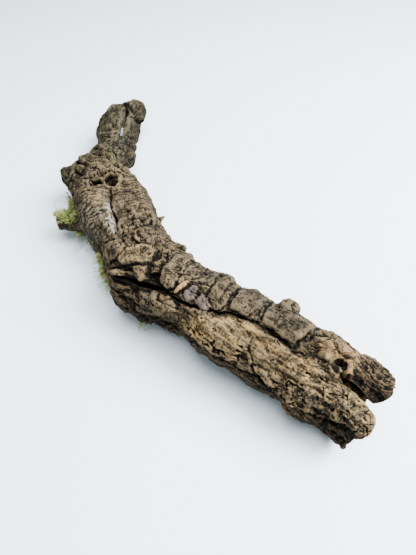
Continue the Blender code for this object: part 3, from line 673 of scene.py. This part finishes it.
# Uneven flakes, bold ones and fine ones, the raised ones paler and the sunk ones darker, with cracks along
# some of their edges that get black shade painted in them.
plate_edge, plate_level = flakes(warped(crust_at, 0.006, 0.0016), (0.019, 0.0115, 0.0115))
step = rugged * (1 - 0.9 * on_plate) * (1 - 0.6 * knob)
fine_relief += step * 0.0022 * (plate_level - 0.5) * smooth_step(0, 0.06, plate_edge)
pale_and_highlight += 0.35 * step * (plate_level - 0.5)
gap = step * smooth_step(0.07, 0.02, plate_edge) * smooth_step(0.0, 0.3, rough(crust_at + 0.7, 0.012, 2))
fine_relief -= 0.0008 * gap
paint_shade(0.6 * gap * broken)
flake_edge, flake_level = flakes(warped(crust_at, 0.004, 0.0014), (0.0085, 0.0048, 0.0048))
fine_relief += (0.15 + 0.85 * rugged) * 0.0011 * (flake_level - 0.5) * smooth_step(0, 0.14, flake_edge)
pale_and_highlight += 0.45 * rugged * (flake_level - 0.5)
gap = rugged * smooth_step(0.12, 0.03, flake_edge) * smooth_step(0.0, 0.3, rough(crust_at + 0.2, 0.012, 2))
fine_relief -= 0.0006 * gap
paint_shade(0.4 * gap * broken)
fine_relief += (0.0002 + 0.0003 * np.maximum(rugged, fresh)) * chips
fine_relief += 0.0008 * fresh * rough(warped(crust_at, 0.006, 0.003), (0.0048, 0.0026, 0.0026), 3)

# Pits, painted black as shade. The lower this level is, the more of them there are.
pit_level = 0.72 - 0.6 * spots(
    (0.081, -58, 0.012, 0.01), (0.048, -84, 0.012, 0.012), (0.11, -74, 0.01, 0.008),
    (0.123, -66, 0.01, 0.007), (0.14, -63, 0.01, 0.007), (0.161, -58, 0.008, 0.01),
    (0.198, -63, 0.012, 0.008),
)
pit_level -= 0.44 * spots(
    (0.207, -46, 0.008, 0.01), (0.222, -38, 0.008, 0.01), (0.242, -44, 0.008, 0.01),
    (0.262, -56, 0.01, 0.012), (0.24, -76, 0.016, 0.01), (0.222, -66, 0.01, 0.008),
    (0.247, -28, 0.01, 0.008),
)
pit_level -= 0.26 * below_strip + 0.14 * spots(
    (0.02, 4, 0.02, 0.03), (-0.125, -10, 0.02, 0.03), (-0.15, -70, 0.02, 0.03)
)
pit = rough(warped(crust_at, 0.004, 0.0016), (0.007, 0.0036, 0.0036), 3, 0.6)
pit = smooth_step(0, 0.16, pit - pit_level)
fine_relief -= 0.0022 * pit
paint_shade(pit)
push(bark.data, fine_relief)

# The hollow has long low ripples.
ripple = (1 - outside) * 0.0006 * rough(straight, (0.03, 0.006, 0.006), 3)
set_places(bark.data, mesh_array(bark.data) + normals * ripple[:, None])


def mean_of_neighbours(mesh, values, rounds):
    """Values averaged over the neighbours, again and again."""
    edges = np.empty(len(mesh.edges) * 2, np.int32)
    mesh.edges.foreach_get("vertices", edges)
    a, b = edges.reshape(-1, 2).T
    count = np.bincount(a, minlength=len(mesh.vertices)) + np.bincount(b, minlength=len(mesh.vertices))
    values = np.asarray(values, float)
    columns = values.reshape(len(mesh.vertices), -1)
    for _ in range(rounds):
        total = np.stack([
            np.bincount(a, column[b], len(mesh.vertices)) + np.bincount(b, column[a], len(mesh.vertices))
            for column in columns.T
        ], 1)
        columns = 0.5 * columns + 0.5 * total / np.maximum(count, 1)[:, None]
    return columns.reshape(values.shape)


def hollowness(mesh, rounds):
    """How far each place lies under the mean of its surroundings, in metres. Above 0 is a hollow."""
    here = mesh_array(mesh)
    mean = mean_of_neighbours(mesh, here, rounds)
    facing = unit(mean_of_neighbours(mesh, mesh_array(mesh, "normal"), rounds))
    return ((mean - here) * facing).sum(1)


def set_numbers(mesh, name, values):
    made = mesh.attributes.new(name, "FLOAT", "POINT")
    made.data.foreach_set("value", np.asarray(values, np.float32))


def set_on_crust(name, values):
    """Stores a number for each place of the crust, and 0 for the rest of the bark."""
    everywhere = np.zeros(len(x))
    everywhere[crust] = values
    set_numbers(bark.data, name, everywhere)


def set_colours(mesh, name, values):
    made = mesh.attributes.new(name, "FLOAT_COLOR", "POINT")
    opaque = np.column_stack((values, np.ones(len(values))))
    made.data.foreach_set("color", opaque.astype(np.float32).ravel())


# How hollow each place is, for the shade and highlight that the finish paints.
fine_hollow = hollowness(bark.data, 5)
broad_hollow = hollowness(bark.data, 50)
set_numbers(bark.data, "hollow", np.clip(0.5 + fine_hollow / 0.0011 + broad_hollow / 0.003, -0.3, 1.8))

# The colours of the crust by place. Each is a linear colour, mixed in by where the real bark shows it.
TAN = (0.130, 0.100, 0.061)
OCHRE = (0.330, 0.245, 0.126)
GOLD = (0.400, 0.262, 0.112)
GREY = (0.098, 0.084, 0.061)
OLIVE = (0.078, 0.071, 0.045)
SLATE = (0.060, 0.062, 0.060)
ROSE = (0.270, 0.182, 0.094)
RUST = (0.340, 0.150, 0.070)
MAUVE = (0.112, 0.091, 0.087)
FLAKE = (0.370, 0.228, 0.112)
ALGAE = (0.075, 0.080, 0.020)
LICHEN = (0.255, 0.245, 0.215)
UMBER_AND_SHADE = (0.036, 0.027, 0.018)
SHADE_AND_SPECK_BLACK = (0.0040, 0.0036, 0.0030)
CORK = (0.040, 0.026, 0.016)
TINT_STRENGTH = 0.8

crust_tint = np.tile(np.array(TAN), (len(crust_x), 1))


def stain(colour, share):
    """Mixes a colour into the crust's, by a share from 0 to 1."""
    crust_tint[:] += (np.array(colour) - crust_tint) * np.clip(share, 0, 1)[:, None]


blotch = rough(crust_at, 0.024, 3)
speckle = rough(crust_at, 0.0065, 3)
patches = smooth_step(0.0, 0.35, rough(warped(crust_at, 0.01, 0.004), (0.022, 0.015, 0.015), 4))
stain(GREY, 0.6 * patches)
stain(OLIVE, along((-0.35, 1), (-0.2, 1), (-0.15, 0.6), (-0.1, 0.15), (-0.05, 0.0)) + 0.3 * blotch)
# Slate grey: painted shade in the thin end's hollow, and two darker spots on the shoulder's front lobe.
stain(SLATE, 0.9 * spots((-0.221, 48, 0.015, 0.013))
      + 0.5 * spots((-0.072, -58, 0.01, 0.01), (-0.05, -36, 0.006, 0.008)))
stain(GREY, 0.8 * spots((0.1, 20, 0.03, 0.02), (0.15, 28, 0.03, 0.02), (0.178, 30, 0.03, 0.02)))
crust_tint *= 1 + 0.62 * spots((-0.06, -46, 0.03, 0.022))[:, None]

# The ochre strip, the pale plates and the fresh cork.
stain(OCHRE, strip * (0.85 + 0.5 * blotch) * along((0.1, 0.9), (0.14, 1), (0.16, 0.4), (0.22, 0.3)))
stain(GOLD, strip * smooth_step(0.1, 0.5, rough(crust_at + 0.5, (0.02, 0.007, 0.007), 3)) * 0.7)
stain(GOLD, 0.8 * spots((0.122, -52, 0.007, 0.006), (0.16, -17, 0.012, 0.004), (0.176, -22, 0.01, 0.004)))
stain(OCHRE, 0.7 * along((0.19, 0), (0.22, 1)) * smooth_step(-0.15, 0.25, speckle))
stain(OCHRE, np.clip(pale_places, 0, 1) * 0.7)
stain(ROSE, fresh * (0.58 + 1.2 * rough(crust_at, (0.016, 0.004, 0.004), 3))
      + 0.5 * spots((0.239, 22, 0.005, 0.007)))
stain(RUST, 0.6 * spots((0.229, 40, 0.006, 0.01), (0.239, -8, 0.003, 0.005))
      + 0.3 * spots((0.219, 8, 0.006, 0.004)))
stain(MAUVE, own_colour["mauve"] * (0.85 + 0.6 * speckle))
stain(FLAKE, own_colour["orange"] * (0.85 + 0.4 * speckle))
stain(GOLD, 0.9 * spots((0.203, -17, 0.006, 0.004), (0.21, -22, 0.006, 0.004)))

# Dark dirt and painted shade on the underside below the strip's ledge. Painted shade on the knob, most on its
# front side, in the crevice beside it and the grooves round its rolls, in the hollows of the neck and the
# bend, and on the back side of the neck.
stain(UMBER_AND_SHADE, (1.15 + 0.8 * blotch) * below_strip)
stain(RUST, smooth_step(-0.1, 0.2, speckle)
      * (0.5 * spots((0.208, -91, 0.008, 0.004), (0.13, -96, 0.006, 0.003))))
stain(UMBER_AND_SHADE, knob * (0.6 + 0.5 * smooth_step(25, -5, crust_degrees))
      + 0.8 * spots((0.25, -12, 0.012, 0.008))
      + 0.85 * spots((0.2035, 8, 0.005, 0.01), (0.204, 22, 0.004, 0.008), (0.19, -3, 0.007, 0.004),
                     (0.229, -22, 0.006, 0.003)))
stain(UMBER_AND_SHADE, 0.7 * spots(
    (-0.15, -84, 0.016, 0.016), (-0.128, -30, 0.014, 0.014), (-0.1, -14, 0.01, 0.01),
    (-0.165, -4, 0.012, 0.014), (0.064, -30, 0.01, 0.01), (0.048, -46, 0.008, 0.007),
    (0.053, -86, 0.012, 0.012),
))
# Painted shade on the back side of the neck.
stain(UMBER_AND_SHADE, 0.82 * smooth_step(24, 62, crust_degrees) * smooth_step(-0.13, -0.19, crust_x))
stain(UMBER_AND_SHADE, 0.5 * spots((0.04, -65, 0.012, 0.005)))
crust_tint *= along(
    (-0.35, 0.94), (-0.15, 0.92), (-0.05, 0.98), (0.0, 0.82), (0.06, 0.84), (0.1, 0.9), (0.14, 0.92),
    (0.17, 0.84), (0.22, 0.84), (0.26, 0.95),
)[:, None]
crust_tint *= (1 + 0.32 * rough(crust_at + 0.15, 0.03, 2))[:, None]

# Algae on the mossy stub, and pale lichen by the long fold below the shoulder's knot hole.
stub = smooth_step(1.12, 1.25, far_out[crust]) * spot(-0.095, -97, 0.03, 0.03)
stain(UMBER_AND_SHADE, stub)
stain(ALGAE, stub * smooth_step(-0.2, 0.3, speckle) * 0.8)
pale = spots(
    (-0.056, -12, 0.006, 0.003), (-0.044, -17, 0.008, 0.004), (-0.03, -25, 0.009, 0.006),
    (-0.02, -31, 0.006, 0.005),
)
lichen = smooth_step(0.38, 0.62, pale + 0.4 * speckle)
stain(LICHEN, lichen)

# The hollow is dark bare cork, painted darker still as shade, and darkest inside the fork, where more shade
# is painted.
tint = np.tile(np.array(CORK), (len(x), 1))
crevice = smooth_step(0.225, 0.24, x) * smooth_step(-40, -30, degrees) * smooth_step(12, 2, degrees)
tint *= (1 - 0.8 * crevice)[:, None]
# Paler plates; painted highlight on ridges, wrinkles and ribs, with painted shade between them; raised flakes
# paler and sunk ones darker.
crust_tint *= (1 + 0.5 * np.clip(pale_and_highlight, -0.8, 1.2))[:, None]
tint[crust] += (crust_tint - tint[crust]) * smooth_step(0.3, 0.9, outside[crust])[:, None]
set_colours(bark.data, "tint", tint * TINT_STRENGTH)
set_on_crust("painted_shade", np.clip(painted_shade * outside[crust], 0, 1))
specks = 0.2 + 0.75 * rugged + 0.5 * (0.75 - pit_level) - 0.7 * strip - lichen
set_on_crust("specks", np.clip(specks, 0, 1.2))
set_on_crust("across", across)
for axis, name in enumerate(("straight_x", "straight_y", "straight_z")):
    set_numbers(bark.data, name, straight[:, axis])

# The hollow is thinned first, as little of it shows, and then the whole wall where it is flattest.
HOLLOW_FACES = 24000
BARK_FACES = 196000


def triangles(mesh):
    return sum(len(face.vertices) - 2 for face in mesh.polygons)


simple = bark.vertex_groups.new(name="simple")
for n in np.nonzero(outside < 0.5)[0].tolist():
    simple.add([n], 1.0, "REPLACE")
crust_share = (outside >= 0.5).mean()
changed(bark, "DECIMATE", ratio=crust_share + HOLLOW_FACES / triangles(bark.data), vertex_group="simple",
        vertex_group_factor=1.0)
changed(bark, "DECIMATE", ratio=BARK_FACES / triangles(bark.data))
bark.data.shade_smooth()


class Finish:
    """A material, and short ways to add nodes to it."""

    def __init__(self, name):
        self.material = bpy.data.materials.new(name)
        self.material.use_nodes = True
        self.tree = self.material.node_tree
        self.shader = self.tree.nodes["Principled BSDF"]

    def fill(self, socket, value):
        """Gives a socket its value, or links another node's output to it."""
        if isinstance(value, bpy.types.NodeSocket):
            self.tree.links.new(value, socket)
        else:
            socket.default_value = value

    def node(self, kind, inputs=(), **settings):
        made = self.tree.nodes.new(kind)
        for name, value in settings.items():
            setattr(made, name, value)
        for name, value in dict(inputs).items():
            self.fill(made.inputs[name], value)
        return made

    def attribute(self, name, output="Fac"):
        return self.node("ShaderNodeAttribute", attribute_name=name).outputs[output]

    def maths(self, operation, a, b):
        return self.node("ShaderNodeMath", {0: a, 1: b}, operation=operation).outputs[0]

    def spread(self, value, low, high, to_low=0.0, to_high=1.0):
        """A value from low to high, spread between two others and held there."""
        ends = {"Value": value, "From Min": low, "From Max": high, "To Min": to_low, "To Max": to_high}
        return self.node("ShaderNodeMapRange", ends).outputs[0]

    def noise(self, at, scale, detail, roughness=0.6, **inputs):
        inputs.update({"Vector": at, "Scale": scale, "Detail": detail, "Roughness": roughness})
        return self.node("ShaderNodeTexNoise", inputs).outputs[0]

    def stretched(self, at, factors):
        return self.node("ShaderNodeVectorMath", {0: at, 1: factors}, operation="MULTIPLY").outputs[0]

    def mix(self, share, a, b, blend="MIX"):
        """One colour mixed into another: the node takes them as its inputs 6 and 7."""
        mixed = {0: share, 6: a, 7: b}
        return self.node("ShaderNodeMix", mixed, data_type="RGBA", blend_type=blend).outputs[2]

    def ramp(self, level, *stops):
        """Colours picked by a level: pairs of level and colour, from 0 to 1."""
        made = self.node("ShaderNodeValToRGB", {"Fac": level})
        shades = made.color_ramp.elements
        shades[0].color = (*stops[0][1], 1)
        shades[1].color = (*stops[-1][1], 1)
        for position, colour in stops[1:-1]:
            shades.new(position).color = (*colour, 1)
        return made.outputs[0]

    def into(self, socket, value):
        self.fill(self.shader.inputs[socket], value)


# The crust's finish: the colours by place, with shade painted in the hollows of the mesh and highlight on its
# crests, and a grain of streaks, specks and flecks that follows the tube.
cork = Finish("cork_bark")
grain_place = cork.node(
    "ShaderNodeCombineXYZ",
    {0: cork.attribute("straight_x"), 1: cork.attribute("straight_y"), 2: cork.attribute("straight_z")},
).outputs[0]
mottle = cork.noise(grain_place, 120.0, 5.0, 0.65)
grain = cork.noise(grain_place, 290.0, 4.0, 0.65)
fine = cork.noise(grain_place, 560.0, 5.0, 0.7)
length_streak = cork.noise(cork.stretched(grain_place, (0.16, 1, 1)), 460.0, 4.0, 0.65, Distortion=0.4)
cross_streak = cork.noise(cork.stretched(grain_place, (1, 0.2, 0.2)), 460.0, 4.0, 0.65, Distortion=0.4)
streak = cork.node(
    "ShaderNodeMix", {0: cork.attribute("across"), 2: length_streak, 3: cross_streak}, data_type="FLOAT"
).outputs[0]
light = cork.spread(cork.attribute("hollow"), -0.3, 1.8, 1.25, -0.45)
for pattern, share in ((mottle, 0.22), (streak, 0.46), (grain, 0.2), (fine, 0.42)):
    light = cork.maths("ADD", light, cork.spread(pattern, 0.3, 0.7, -share, share))
shade = cork.ramp(
    light, (0.0, (0.018, 0.0165, 0.0145)), (0.3, (0.085, 0.0833, 0.08075)), (0.55, (0.25, 0.245, 0.2375)),
    (0.8, (0.48, 0.4704, 0.456)), (1.0, (1.05, 0.99, 0.885)),
)
colour = cork.mix(1.0, cork.attribute("tint", "Color"), shade, "MULTIPLY")
FLECK = (0.12, 0.094, 0.058)
flecks = cork.noise(cork.stretched(grain_place, (0.4, 1, 1)), 760.0, 2.0, 0.6)
colour = cork.mix(cork.spread(flecks, 0.6, 0.7, 0.0, 0.6), colour, (*FLECK, 1))
dots = cork.noise(cork.stretched(grain_place, (0.6, 1, 1)), 520.0, 3.0, 0.6)
dot_level = cork.maths("ADD", dots, cork.spread(cork.attribute("specks"), 0.0, 1.0, -0.07, 0.055))
speck_share = cork.spread(dot_level, 0.6, 0.66, 0.0, 0.75)
# Black for the dark specks, and for the shade painted in grooves, cracks, pits and holes.
shade_share = cork.maths(
    "MULTIPLY", cork.spread(cork.attribute("painted_shade"), 0.12, 0.92), cork.spread(fine, 0.25, 0.45, 0.94, 1.0)
)
colour = cork.mix(cork.maths("MAXIMUM", speck_share, shade_share), colour, (*SHADE_AND_SPECK_BLACK, 1))
cork.into("Base Color", colour)
cork.into("Roughness", 0.93)
cork.into("Specular IOR Level", 0.06)
height = cork.maths("ADD", cork.maths("MULTIPLY", streak, 1.5), cork.maths("MULTIPLY", dot_level, -0.6))
height = cork.maths("ADD", height, cork.maths("ADD", cork.maths("MULTIPLY", grain, 1.5), fine))
bumps = cork.node("ShaderNodeBump", {"Height": height, "Strength": 0.9, "Distance": 0.0012})
cork.into("Normal", bumps.outputs[0])
bark.data.materials.append(cork.material)
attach(bark, "root")
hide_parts("bark_tube")


# The moss is feather moss that clings to the bark by its rhizoids. Each frond is a bent stem with two rows
# of branchlets, all clad in small pointed leaves. Some lie on the bark, and the others grow out of it and
# end at the face of their packed clump.
MOSS_LEAF = 0.0011
MOSS_LEAF_HALF_WIDTH = 0.00017
FROND_STEPS = 14
FROND_WIDTH = 0.0034
LYING_WIDTH = 0.0022
LYING_REACH = (0.0035, 0.0075)
ROOT_DEPTH = 0.0004
STRAY = 0.001
FIRST_SEED = 40
MOSS_CLUMPS = {
    # How many fronds lie on the bark as a mat, how many reach out of it, and how pale those are.
    "moss_on_stub": (420, 26, 0.5),
    "moss_hanging_wisp": (60, 9, 0.35),
    "moss_side_tuft": (110, 26, 0.3),
    "moss_under_edge": (36, 10, 0.35),
}
bark_surface = BVHTree.FromPolygons(
    mesh_array(bark.data).tolist(), [tuple(face.vertices) for face in bark.data.polygons]
)


def random_places(mesh, count, dice):
    """Places spread evenly over a mesh."""
    mesh.calc_loop_triangles()
    corners = mesh_array(mesh)
    faces = np.array([face.vertices[:] for face in mesh.loop_triangles])
    a, b, c = (corners[faces[:, n]] for n in range(3))
    area = np.linalg.norm(np.cross(b - a, c - a), axis=1)
    chosen = dice.choice(len(faces), count, p=area / area.sum())
    u, v = dice.random((2, count, 1))
    swap = u + v > 1
    u = np.where(swap, 1 - u, u)
    v = np.where(swap, 1 - v, v)
    return a[chosen] + u * (b[chosen] - a[chosen]) + v * (c[chosen] - a[chosen])


def frond(root, tip, lift, width, dice):
    """The leaves of one frond: where each starts, the way it points, its length, and how far along the
    frond it is."""
    along_stem = np.linspace(0, 1, FROND_STEPS)[:, None]
    middle = (root + tip) / 2 + lift
    stem = (1 - along_stem) ** 2 * root + 2 * along_stem * (1 - along_stem) * middle + along_stem ** 2 * tip
    ahead = unit(np.gradient(stem, axis=0))
    side = unit(np.cross(ahead, unit(dice.normal(size=3) + np.array((0, 0, 1.5)))))
    starts = [stem]
    points = [ahead]
    lengths = [np.full(FROND_STEPS, 1.6 * np.linalg.norm(tip - root) / FROND_STEPS)]
    shares = [along_stem[:, 0]]
    for n in range(1, FROND_STEPS):
        for hand in (-1, 1):
            share = n / FROND_STEPS
            out = unit(0.75 * ahead[n] + hand * side[n] + 0.25 * dice.normal(size=3))
            reach = width * (1 - 0.8 * share) * dice.uniform(0.6, 1.15)
            leaves = max(3, int(reach / (0.55 * MOSS_LEAF)))
            at = np.linspace(0, 1, leaves)[:, None]
            starts.append(stem[n] + out * reach * at + np.array((0, 0, -0.2)) * reach * at ** 2)
            points.append(unit(out + 0.45 * dice.normal(size=(leaves, 3))))
            lengths.append(MOSS_LEAF * dice.uniform(0.7, 1.2, leaves))
            shares.append(share + 0.3 * at[:, 0])
    return np.vstack(starts), np.vstack(points), np.concatenate(lengths), np.concatenate(shares)


def leaf_mesh(name, starts, points, lengths):
    """One closed three-sided spike for each leaf, all in one mesh."""
    across_leaf = unit(np.cross(points, np.array((0.3, 0.2, 0.9))))
    other = np.cross(points, across_leaf)
    wide = MOSS_LEAF_HALF_WIDTH
    corners = np.stack((
        starts + wide * across_leaf,
        starts - 0.5 * wide * across_leaf + 0.6 * wide * other,
        starts - 0.5 * wide * across_leaf - 0.6 * wide * other,
        starts + points * lengths[:, None],
    ), 1).reshape(-1, 3)
    sides = np.array(((0, 2, 1), (0, 1, 3), (1, 2, 3), (2, 0, 3)))
    faces = (np.arange(len(starts))[:, None, None] * 4 + sides).reshape(-1, 3)
    mesh = bpy.data.meshes.new(name)
    mesh.from_pydata(corners.tolist(), [], faces.tolist())
    mesh.update()
    return mesh


moss = Finish("feather_moss")
moss_patches = moss.noise(moss.node("ShaderNodeTexCoord").outputs["Object"], 260.0, 3.0)
moss_tone = moss.maths("ADD", moss.attribute("ripeness"), moss.spread(moss_patches, 0.3, 0.7, -0.25, 0.25))
moss.into("Base Color", moss.ramp(
    moss_tone, (0.0, (0.045, 0.035, 0.012)), (0.3, (0.075, 0.085, 0.017)), (0.6, (0.2, 0.235, 0.055)),
    (1.0, (0.4, 0.43, 0.19)),
))
moss.into("Roughness", 0.75)
moss.into("Specular IOR Level", 0.25)

for number, (name, (mat, reaching, paleness)) in enumerate(MOSS_CLUMPS.items()):
    dice = np.random.default_rng(FIRST_SEED + number)
    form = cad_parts[name].data
    parts = []
    tones = []
    for n, place in enumerate(random_places(form, mat + reaching, dice)):
        root, normal, _, _ = bark_surface.find_nearest(Vector(place))
        root = np.array(root)
        normal = np.array(normal)
        if n < mat:
            lying = unit(np.cross(normal, dice.normal(size=3)))
            toward = unit(0.8 * lying + 0.55 * normal + 0.3 * unit(place - root))
            tip = root + toward * dice.uniform(*LYING_REACH)
            width = LYING_WIDTH
            tone = dice.uniform(-0.1, 0.25)
        else:
            tip = place
            width = FROND_WIDTH
            tone = paleness + dice.uniform(-0.1, 0.3)
        lift = 0.25 * np.linalg.norm(tip - root) * unit(normal + 0.6 * dice.normal(size=3))
        parts.append(frond(root - ROOT_DEPTH * normal, tip, lift, width, dice))
        tones.append(np.full(len(parts[-1][3]), tone))
    starts, points, lengths, shares = (np.concatenate([part[n] for part in parts]) for n in range(4))
    mesh = leaf_mesh(name, starts, points, lengths)
    ripeness = np.clip(0.15 + 0.45 * shares + np.concatenate(tones), 0, 1)
    set_numbers(mesh, "ripeness", np.repeat(ripeness, 4))
    low, high = (np.array(corner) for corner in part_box(name))
    set_places(mesh, np.clip(mesh_array(mesh), low - STRAY, high + STRAY))
    clump = new_piece(name + "_fronds", mesh)
    clump.data.materials.append(moss.material)
    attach(clump, "root")
    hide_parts(name)


# The table top is a wide sheet of pale matt paper, laid flat under the bark. Soft white light falls on it
# from a window to the right of the camera and from the ceiling.
TABLE_REACH = 4
table = new_piece("table_top", bpy.data.meshes.new("table_top"))
bm = bmesh.new()
bmesh.ops.create_grid(bm, x_segments=1, y_segments=1, size=TABLE_REACH)
bm.to_mesh(table.data)
bm.free()
paper = Finish("white_table")
paper.into("Base Color", (0.77, 0.885, 0.955, 1))
paper.into("Roughness", 0.6)
table.data.materials.append(paper.material)
table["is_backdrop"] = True

world = bpy.data.worlds.new("soft_room")
bpy.context.scene.world = world
world.use_nodes = True
room = world.node_tree.nodes["Background"].inputs
room["Color"].default_value = (0.9, 0.95, 1.0, 1)
room["Strength"].default_value = 0.64


def add_light(name, place, size, power, colour):
    """A round soft lamp that shines at the middle of the bark."""
    lamp = bpy.data.lights.new(name, "AREA")
    lamp.shape = "DISK"
    lamp.size = size
    lamp.energy = power
    lamp.color = colour
    made = bpy.data.objects.new(name, lamp)
    bpy.context.scene.collection.objects.link(made)
    aim = -Vector(place)
    made.matrix_world = Matrix.Translation(place) @ aim.to_track_quat("-Z", "Y").to_matrix().to_4x4()


add_light("window", (0.55, 1.0, 1.3), 1.2, 145, (0.99, 0.992, 1.0))
add_light("ceiling", (0.25, 0.1, 1.7), 1.4, 68, (0.985, 0.99, 1.0))

# The camera looks along the tube from past its forked end, 50 degrees down. The picture's height and the
# camera's focal length are in pixels.
CAMERA_PLACE = Vector((0.3438, -0.1253, 0.389))
CAMERA_AHEAD = (-0.8773, 0.48)
CAMERA_DOWN = math.radians(50)
PHOTO_HEIGHT = 555
PHOTO_FOCUS = 419
SENSOR = 36
camera = bpy.data.objects.new("camera", bpy.data.cameras.new("camera"))
bpy.context.scene.collection.objects.link(camera)
camera.data.sensor_width = SENSOR
camera.data.lens = SENSOR * PHOTO_FOCUS / PHOTO_HEIGHT
ahead = Vector((*CAMERA_AHEAD, 0)) * math.cos(CAMERA_DOWN) - Vector((0, 0, math.sin(CAMERA_DOWN)))
camera.matrix_world = Matrix.Translation(CAMERA_PLACE) @ ahead.to_track_quat("-Z", "Y").to_matrix().to_4x4()
bpy.context.scene.camera = camera
